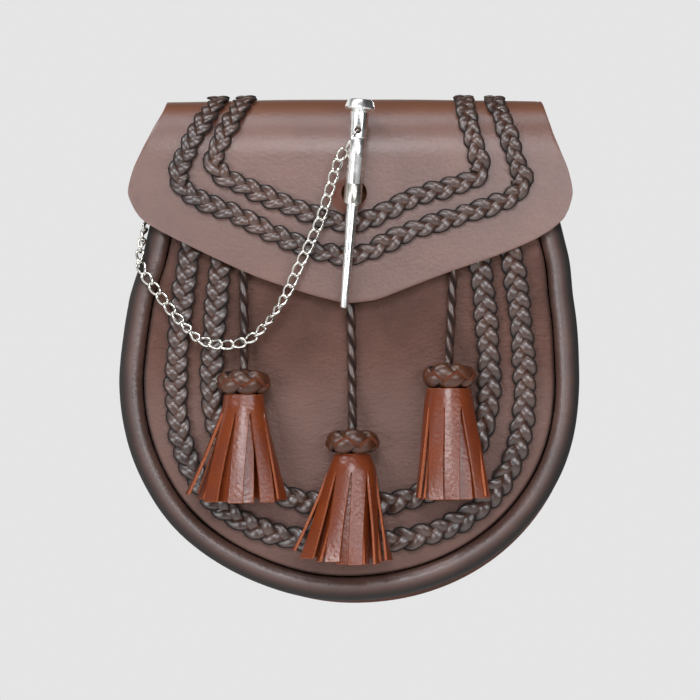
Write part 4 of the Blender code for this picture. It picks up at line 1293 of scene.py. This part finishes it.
# height on the front, left, right
FLAP_BRAIDS = {
    "flap_braid_outer": (
        (69.5, -55.0, 59.5), (61.1, -60.4, 63.1), (51.3, -66.0, 66.4), (42.5, -69.6, 69.4),
        (36.2, -69.0, 70.4), (30.0, -61.0, 64.0), (24.0, -46.2, 47.0), (17.2, -33.2, 25.4),
        (11.5, -20.1, 13.6), (7.6, -7.0, 4.5),
    ),
    "flap_braid_inner": (
        (69.5, -43.9, 47.0), (61.1, -48.7, 48.8), (51.3, -53.8, 51.7), (45.0, -55.4, 53.3),
        (39.6, -51.0, 52.6), (35.6, -42.6, 43.0), (31.2, -33.2, 27.2), (27.1, -23.4, 18.8),
        (23.4, -13.5, 11.4), (20.9, -4.4, 4.4),
    ),
}


def over_fold(y):
    """The plaits are pressed flatter where the flap turns over the top."""
    return 1 - PRESSED * math.exp(-(((y - FOLD_QUARTER / 2) / PRESSED_REACH) ** 2))


for seed, (name, rows) in enumerate(FLAP_BRAIDS.items(), start=10):
    sides = []
    for column in (1, 2):
        behind = [(rows[0][column] * MM, y) for y in (FOLD_QUARTER + BRAID_TAIL, FOLD_QUARTER / 2)]
        sides.append(behind + [(row[column] * MM, on_front(row[0])) for row in rows])
    route = smooth(sides[0] + sides[1][::-1], FINE_POINTS)
    laid_plait(name, flap_face, route, FLAP_BRAID_WIDTH, FLAP_LOBES, seed, over_fold)

# %% [markdown]
# ## Metal
# The pin, its staple and the chain are nickel plated and polished. Handled metal is never a
# perfect mirror: it carries faint smears and hairlines that spread the reflections.

# %% Polished metal
SMEARS, HAIRLINES = 160, 5200


def metal(name, colour, roughness):
    finish = Finish(name)
    smears = finish.noise(finish.place, SMEARS, 3.0)
    hairlines = finish.noise(finish.stretched(finish.place, (1, 1, 0.06)), HAIRLINES)
    tone = finish.ramp(smears, [level * 0.9 for level in colour], colour, 0.35, 0.6)
    spread = finish.between(smears, 0.35, 0.65, roughness - 0.05, roughness + 0.07)
    finish.shade({"Base Color": tone, "Roughness": spread, "Metallic": 1.0})
    finish.bump(hairlines, 0.05, 0.00005)
    return finish


pin_metal = metal("pin_metal", (0.95, 0.945, 0.92), 0.26)
chain_metal = metal("chain_metal", (0.7, 0.67, 0.61), 0.17)
staple_metal = metal("staple_metal", (0.66, 0.63, 0.56), 0.3)

# %% [markdown]
# ## The targe pin
# The pin is turned on a lathe: a flared head, a stepped shoulder and a long taper. A circle is
# drawn out along its length and resized at every step, as in the table. A cross hole takes the
# chain.

# %% Draw out the pin
PIN_SEAT = Vector((1.6, -49.3, 32.1)) * MM
PIN_LEAN = Euler((math.radians(-0.6), math.radians(4.56), 0))
PIN_HOLE_HEIGHT = 26.0 * MM
PIN_HOLE_RADIUS = 1.5 * MM
# height, radius
PIN_PROFILE = (
    (38.7, 4.6), (38.1, 5.2), (35.4, 6.2), (34.7, 6.0), (34.5, 3.2), (33.4, 3.9), (23.2, 3.6),
    (22.8, 3.35), (22.4, 3.55), (14.4, 3.5), (14.0, 3.3), (4.3, 3.35), (4.3, 3.05), (-4.3, 2.9),
    (-5.0, 2.45), (-19.5, 2.15), (-35.3, 1.8), (-46.3, 1.5), (-46.8, 1.0),
)
pin_matrix = Matrix.Translation(PIN_SEAT) @ PIN_LEAN.to_matrix().to_4x4()

height, radius = np.array(PIN_PROFILE[0]) * MM
bpy.ops.mesh.primitive_circle_add(
    vertices=48, radius=radius, fill_type="NGON", location=(0, 0, height)
)
pin = applied(bpy.context.object)
mode("EDIT")
for (height, radius), (next_height, next_radius) in zip(PIN_PROFILE, PIN_PROFILE[1:]):
    move, scale = (0, 0, (next_height - height) * MM), next_radius / radius
    bpy.ops.mesh.extrude_region_move(TRANSFORM_OT_translate={"value": move})
    bpy.ops.transform.resize(value=(scale, scale, 1), center_override=(0, 0, 0))
mode("OBJECT")
edit(pin, OUTWARD)
bpy.ops.mesh.primitive_cylinder_add(vertices=32, radius=PIN_HOLE_RADIUS, depth=20 * MM)
drill = bpy.context.object
drill.location.z, drill.rotation_euler.x = PIN_HOLE_HEIGHT, math.pi / 2
cut_out(pin, applied(drill))
bevel(pin, 0.16 * MM, 35)
pin.data.transform(pin_matrix)
done(pin, "targe_pin_turned", [pin_metal], ["targe_pin"], 30)

# %% [markdown]
# ## The staple
# The pin slides down through a short sleeve, which stands on a post that comes through the
# flap's slot. The sleeve is a cylinder with its bore cut out. Post and plate are joined to it, and
# the plate is covered in tan hide, which shows in the slot.

# %% Sleeve, post and plate
SLEEVE_RADIUS, SLEEVE_BORE, SLEEVE_HEIGHT = 3.6 * MM, 3.2 * MM, 8.0 * MM
PLATE_WIDTH, PLATE_HEIGHT, PLATE_THICKNESS = 13.0 * MM, 15.0 * MM, 1.2 * MM
POST_WIDTH, POST_HEIGHT = 3.0 * MM, 6.0 * MM
IN_SLEEVE, IN_PLATE = 3.5 * MM, 1.0 * MM  # where the post starts behind the pin, and ends

bpy.ops.mesh.primitive_cylinder_add(vertices=48, radius=SLEEVE_RADIUS, depth=SLEEVE_HEIGHT)
sleeve = bpy.context.object
bpy.ops.mesh.primitive_cylinder_add(vertices=48, radius=SLEEVE_BORE, depth=3 * SLEEVE_HEIGHT)
cut_out(sleeve, bpy.context.object)
bevel(sleeve, 0.2 * MM, 50)
sleeve.data.transform(pin_matrix)
plate_y = panel_face(PIN_SEAT.x, PIN_SEAT.z).y - GAP
parts = [sleeve]
for width, tall, front_y, back_y in (
    (PLATE_WIDTH, PLATE_HEIGHT, plate_y - PLATE_THICKNESS, plate_y),
    (POST_WIDTH, POST_HEIGHT, PIN_SEAT.y + IN_SLEEVE, plate_y - IN_PLATE),
):
    middle = (PIN_SEAT.x, (front_y + back_y) / 2, PIN_SEAT.z)
    bpy.ops.mesh.primitive_cube_add(size=1, location=middle)
    block = bpy.context.object
    block.scale = (width, back_y - front_y, tall)
    bevel(applied(block), 0.35 * MM, 30)
    parts.append(block)
staple_finishes = (staple_metal, plate_finish)
for piece, number in zip(parts, (0, 1, 0)):
    give_finishes(piece, staple_finishes, number)
done(joined(parts), "staple_sleeve", staple_finishes, ["staple"], 35)

# %% [markdown]
# ## The chain
# A curb chain is made of flat oval links, each with a slight twist, so that they lie against
# each other. One link is bent from wire: a circle of points gets the oval and the twist, and
# becomes a curve with a round bevel. Each copy is set between two joints of the chain's line.

# %% The chain's line
LINK_PITCH = 5.0 * MM
LINK_LENGTH = 5.85 * MM
LINK_WIDTH = 3.6 * MM
LINK_TWIST = 0.78 * MM
WIRE_RADIUS = 0.6 * MM
RING_RADIUS = 5.3 * MM
RING_HANG = Vector((-0.57, 0.0, -0.822))
RING_RISE = 0.65 * MM
LINK_POINTS, RING_POINTS = 22, 40
CHAIN_LINKS = 39
# across, height, depth, roll in degrees
CHAIN_ROUTE = (
    (-4.9, 44.6, -49.6, 40), (-6.4, 39.4, -49.5, 15), (-9.0, 30.3, -49.3, 0),
    (-12.3, 20.1, -49.3, 0), (-16.8, 10.3, -49.2, 0), (-21.1, 1.6, -48.0, 0),
    (-24.6, -6.6, -47.0, 15), (-28.3, -13.1, -46.2, 55), (-32.8, -19.3, -45.4, 70),
    (-39.8, -26.7, -44.9, 30), (-47.2, -29.1, -44.4, 12), (-54.5, -29.1, -42.4, 15),
    (-61.9, -26.9, -41.6, 50), (-66.8, -22.1, -40.8, 60), (-73.4, -14.8, -39.6, 20),
    (-78.7, -7.6, -38.9, 0), (-84.2, -0.4, -38.4, -15), (-86.2, 4.4, -37.6, -40),
    (-86.2, 9.6, -36.8, -58), (-85.1, 15.6, -34.9, -72), (-84.2, 20.8, -31.0, -88),
    (-83.1, 24.4, -26.5, -90), (-82.5, 27.8, -21.8, -90), (-82.3, 31.0, -18.0, -90),
)
TURN_WEIGHT = 90  # degrees of roll that count like a metre when the points are spaced


def chain_joints(start):
    """Points a link apart, as (x, y, z, roll), along the chain's line."""
    route = np.array(CHAIN_ROUTE, float)[:, (0, 2, 1, 3)]
    scale = np.array((MM, MM, MM, TURN_WEIGHT))
    first = Vector(route[0, :3]) * MM
    start = start - (first - start).normalized() * (LINK_LENGTH - LINK_PITCH) / 2
    route = np.vstack([[*start, 0], route * (MM, MM, MM, 1)])
    fine = smooth(route / scale, 10 * FINE_POINTS) * scale
    joints = [fine[0]]
    for point in fine:
        if np.linalg.norm(point[:3] - joints[-1][:3]) >= LINK_PITCH:
            joints.append(point)
    return joints[: CHAIN_LINKS + 1]


# %% Bend wire, and set the links
def bent_wire(count, place):
    """A closed loop of round wire through the places that belong to a circle's angles."""
    bpy.ops.mesh.primitive_circle_add(vertices=count, radius=1)
    wire = bpy.context.object
    for number, vertex in enumerate(wire.data.vertices):
        vertex.co = place(2 * math.pi * number / count)
    bpy.ops.object.convert(target="CURVE")
    wire.data.dimensions = "3D"
    wire.data.bevel_depth = WIRE_RADIUS
    wire.data.bevel_resolution = 2
    bpy.ops.object.convert(target="MESH")
    return bpy.context.object


def on_link(turn):
    x, y = LINK_LENGTH / 2 * math.cos(turn), LINK_WIDTH / 2 * math.sin(turn)
    return Vector((x, y, LINK_TWIST * math.sin(2 * turn)))


ring_top = pin_matrix @ Vector((0, 0, PIN_HOLE_HEIGHT)) - RING_HANG * RING_RISE
ring_middle = ring_top + RING_HANG * RING_RADIUS
along_hole = pin_matrix.to_3x3() @ Vector((0, 1, 0))


def on_ring(turn):
    return ring_middle + (along_hole * math.sin(turn) - RING_HANG * math.cos(turn)) * RING_RADIUS


joints = chain_joints(on_ring(math.pi))
places = []
for near, far in zip(joints, joints[1:]):
    start, end = Vector(near[:3]), Vector(far[:3])
    ahead = (end - start).normalized()
    roll = Matrix.Rotation(math.radians((near[3] + far[3]) / 2), 3, ahead)
    places.append(((start + end) / 2, ahead, roll @ to_front(ahead)))
chain = joined([*copies(bent_wire(LINK_POINTS, on_link), places), bent_wire(RING_POINTS, on_ring)])
edit(chain, OUTWARD)
done(chain, "chain_links", [chain_metal], ["chain"], 60)

# %% The hidden eye
chain_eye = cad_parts["chain_eye"]
chain_eye.data.materials.clear()
give_finishes(chain_eye, [chain_metal])

# %% [markdown]
# ## Belt loops
# Two leather loops on the back carry the pouch on a belt. Each is a strap whose ends lie flat and
# are sewn down with waxed thread, and whose middle stands off. A grid is bent to the strap's side
# view, thickened and bevelled. The gusset is sewn to the back panel with the same thread: that
# shows as a line of stitches a few millimetres inside the edge.

# %% Thread
thread = Finish("waxed_thread")
values = {"Vector": thread.place, "Scale": 900, "Distortion": 1.5}
lay = thread.add("TexWave", values, "Fac", bands_direction="DIAGONAL")
thread_colour = thread.ramp(lay, (0.09, 0.055, 0.035), (0.2, 0.13, 0.085))
thread.shade({"Base Color": thread_colour, "Roughness": 0.6})
thread.bump(lay, 0.5, 0.0001)

# %% One stitch, many times
STITCH = (2.6 * MM, 0.75 * MM, 0.6 * MM)
STITCH_PITCH = 3.8 * MM


def stitches(name, places):
    """Stitches on the back, at places of (middle, along)."""
    bpy.ops.mesh.primitive_uv_sphere_add(segments=8, ring_count=6, radius=0.5)
    stitch = bpy.context.object
    stitch.scale = STITCH
    sewn = copies(applied(stitch), [(*place, (0, 1, 0)) for place in places])
    done(joined(sewn), name, [thread], (), 60)


# %% Loops
LOOP_X = 48.0 * MM
LOOP_WIDTH = 26.0 * MM
LOOP_THICKNESS = 2.5 * MM
# height, how far the inner face stands off the back
LOOP_PATH = ((28.0, 0.3), (18.5, 0.3), (12.5, 6.3), (-12.5, 6.3), (-18.5, 0.3), (-28.0, 0.3))
STITCHED_HEIGHTS = (25.4, -25.4, 20.6, -20.6)
OUT_OF_LEATHER = 0.1 * MM  # how far a stitch's middle stands out


def belt_loop(side, middle_x):
    last = len(LOOP_PATH) - 1
    bpy.ops.mesh.primitive_grid_add(x_subdivisions=8, y_subdivisions=last, size=1)
    strap = bpy.context.object
    for vertex in strap.data.vertices:
        height, off = LOOP_PATH[round((0.5 - vertex.co.y) * last)]
        vertex.co = (middle_x + vertex.co.x * LOOP_WIDTH, off * MM, height * MM)
    edit(strap, OUTWARD)
    outwards = -1 if strap.data.polygons[0].normal.y < 0 else 1
    modify(strap, "SOLIDIFY", thickness=LOOP_THICKNESS, offset=outwards)
    edit(strap, OUTWARD)
    bevel(strap, 0.5 * MM, 30)
    done(strap, "belt_loop_strap_" + side, [back_leather], ["belt_loop_" + side])
    y = LOOP_PATH[0][1] * MM + LOOP_THICKNESS + OUT_OF_LEATHER
    across = middle_x + np.arange(-9.5 * MM, 9.6 * MM, STITCH_PITCH)
    places = [((x, y, height * MM), (1, 0, 0)) for height in STITCHED_HEIGHTS for x in across]
    stitches("loop_stitches_" + side, places)


belt_loop("left", -LOOP_X)
belt_loop("right", LOOP_X)

# %% The seam round the back
SEAM_INSET = 4.2 * MM
seam = inset_line(SEAM_INSET)
seam = evenly(seam, int(length_of(seam) / STITCH_PITCH))
sewn = [((x, OUT_OF_LEATHER, z), (a, 0, b)) for (x, z), (a, b) in zip(seam, directions(seam))]
stitches("back_seam_stitches", sewn[1:-1])

# %% [markdown]
# ## Floor, background and light
# The pouch hangs in front of plain pale grey, and the floor lies well below it. Leather looks
# deep and warm only where little light comes from all round, so the pale background is for the
# camera alone. Polished metal sees a white wall on the left and below, a little behind the pouch.
# Two wide soft lamps stand low on either side of the camera, one is just above it, and two hang
# high. The strongest shine so falls just below the turn of the flap and on the tails that face
# the front. One lamp behind is for the back. The floor is given a little glow of its own, as
# painted light for what a pale floor in full light sends back, and that light reaches the
# underside of the rim.

# %% Floor
# painted light: the floor is no lamp, but it glows and lights the pouch from below
FLOOR_GLOW = 0.35  # what a well lit pale floor sends back up

bpy.ops.mesh.primitive_plane_add(size=4.4, location=(0, 0, -0.7))
floor = bpy.context.object
floor.name = "floor"
floor_finish = Finish("floor_finish")
speckle = floor_finish.add("TexNoise", {"Scale": 300.0})
colour = floor_finish.ramp(speckle, (0.76,) * 3, (0.79,) * 3)
floor_finish.shade({"Base Color": colour, "Roughness": 0.8})
floor_finish.shade({"Emission Color": (1.0, 0.99, 0.97), "Emission Strength": FLOOR_GLOW})
give_finishes(floor, [floor_finish])

# %% World
BACKGROUND = 0.783
WALL, DIM = 0.95, 0.07  # what the metal sees on the left and on the right
SOFT, DARK = 0.04, 0.01  # what the leather gets from the left and from the right
WALL_SIDE = (-0.6, 0.6, -0.5)

bpy.context.scene.world = bpy.data.worlds.new("studio")
sky = Nodes(bpy.context.scene.world)
values = {0: sky.add("TexCoord", output="Generated"), 1: WALL_SIDE}
to_left = sky.add("VectorMath", values, "Value", operation="DOT_PRODUCT")
wall = sky.between(to_left, 0.2, 0.5, DIM, WALL)
soft = sky.between(to_left, -0.6, 0.8, DARK, SOFT)
glossy, seen = (sky.add("LightPath", output=name) for name in ("Is Glossy Ray", "Is Camera Ray"))
level = sky.add("Mix", {0: glossy, 2: soft, 3: wall}, data_type="FLOAT")
level = sky.add("Mix", {0: seen, 2: level, 3: BACKGROUND}, data_type="FLOAT")
sky.set(sky.tree.nodes["Background"], {"Color": level})

# %% Lights
LAMP_COLOUR = (0.97, 1.0, 1.05)
LAMP_DISTANCE = 1.3
LAMP_HEIGHT = 0.45
# way round, height, power, width
LAMPS = {
    "left": (-36, -2, 5.8, 0.7),
    "right": (26, 6, 5.2, 0.7),
    "front": (-2, 26, 6.1, 0.4),
    "high_left": (-50, 52, 5.4, 0.45),
    "overhead": (0, 76, 3.2, 0.6),
    "behind": (165, 6, 7.5, 0.6),
}
for name, (azimuth, elevation, power, width) in LAMPS.items():
    away = seen_from(azimuth, elevation)
    bpy.ops.object.light_add(type="AREA", location=CAMERA_AIM + away * LAMP_DISTANCE)
    light = bpy.context.object
    light.name = name
    light.data.shape = "RECTANGLE"
    light.data.size, light.data.size_y = width, LAMP_HEIGHT
    light.data.energy, light.data.color = power, LAMP_COLOUR
    light.rotation_euler = away.to_track_quat("Z", "Y").to_euler()
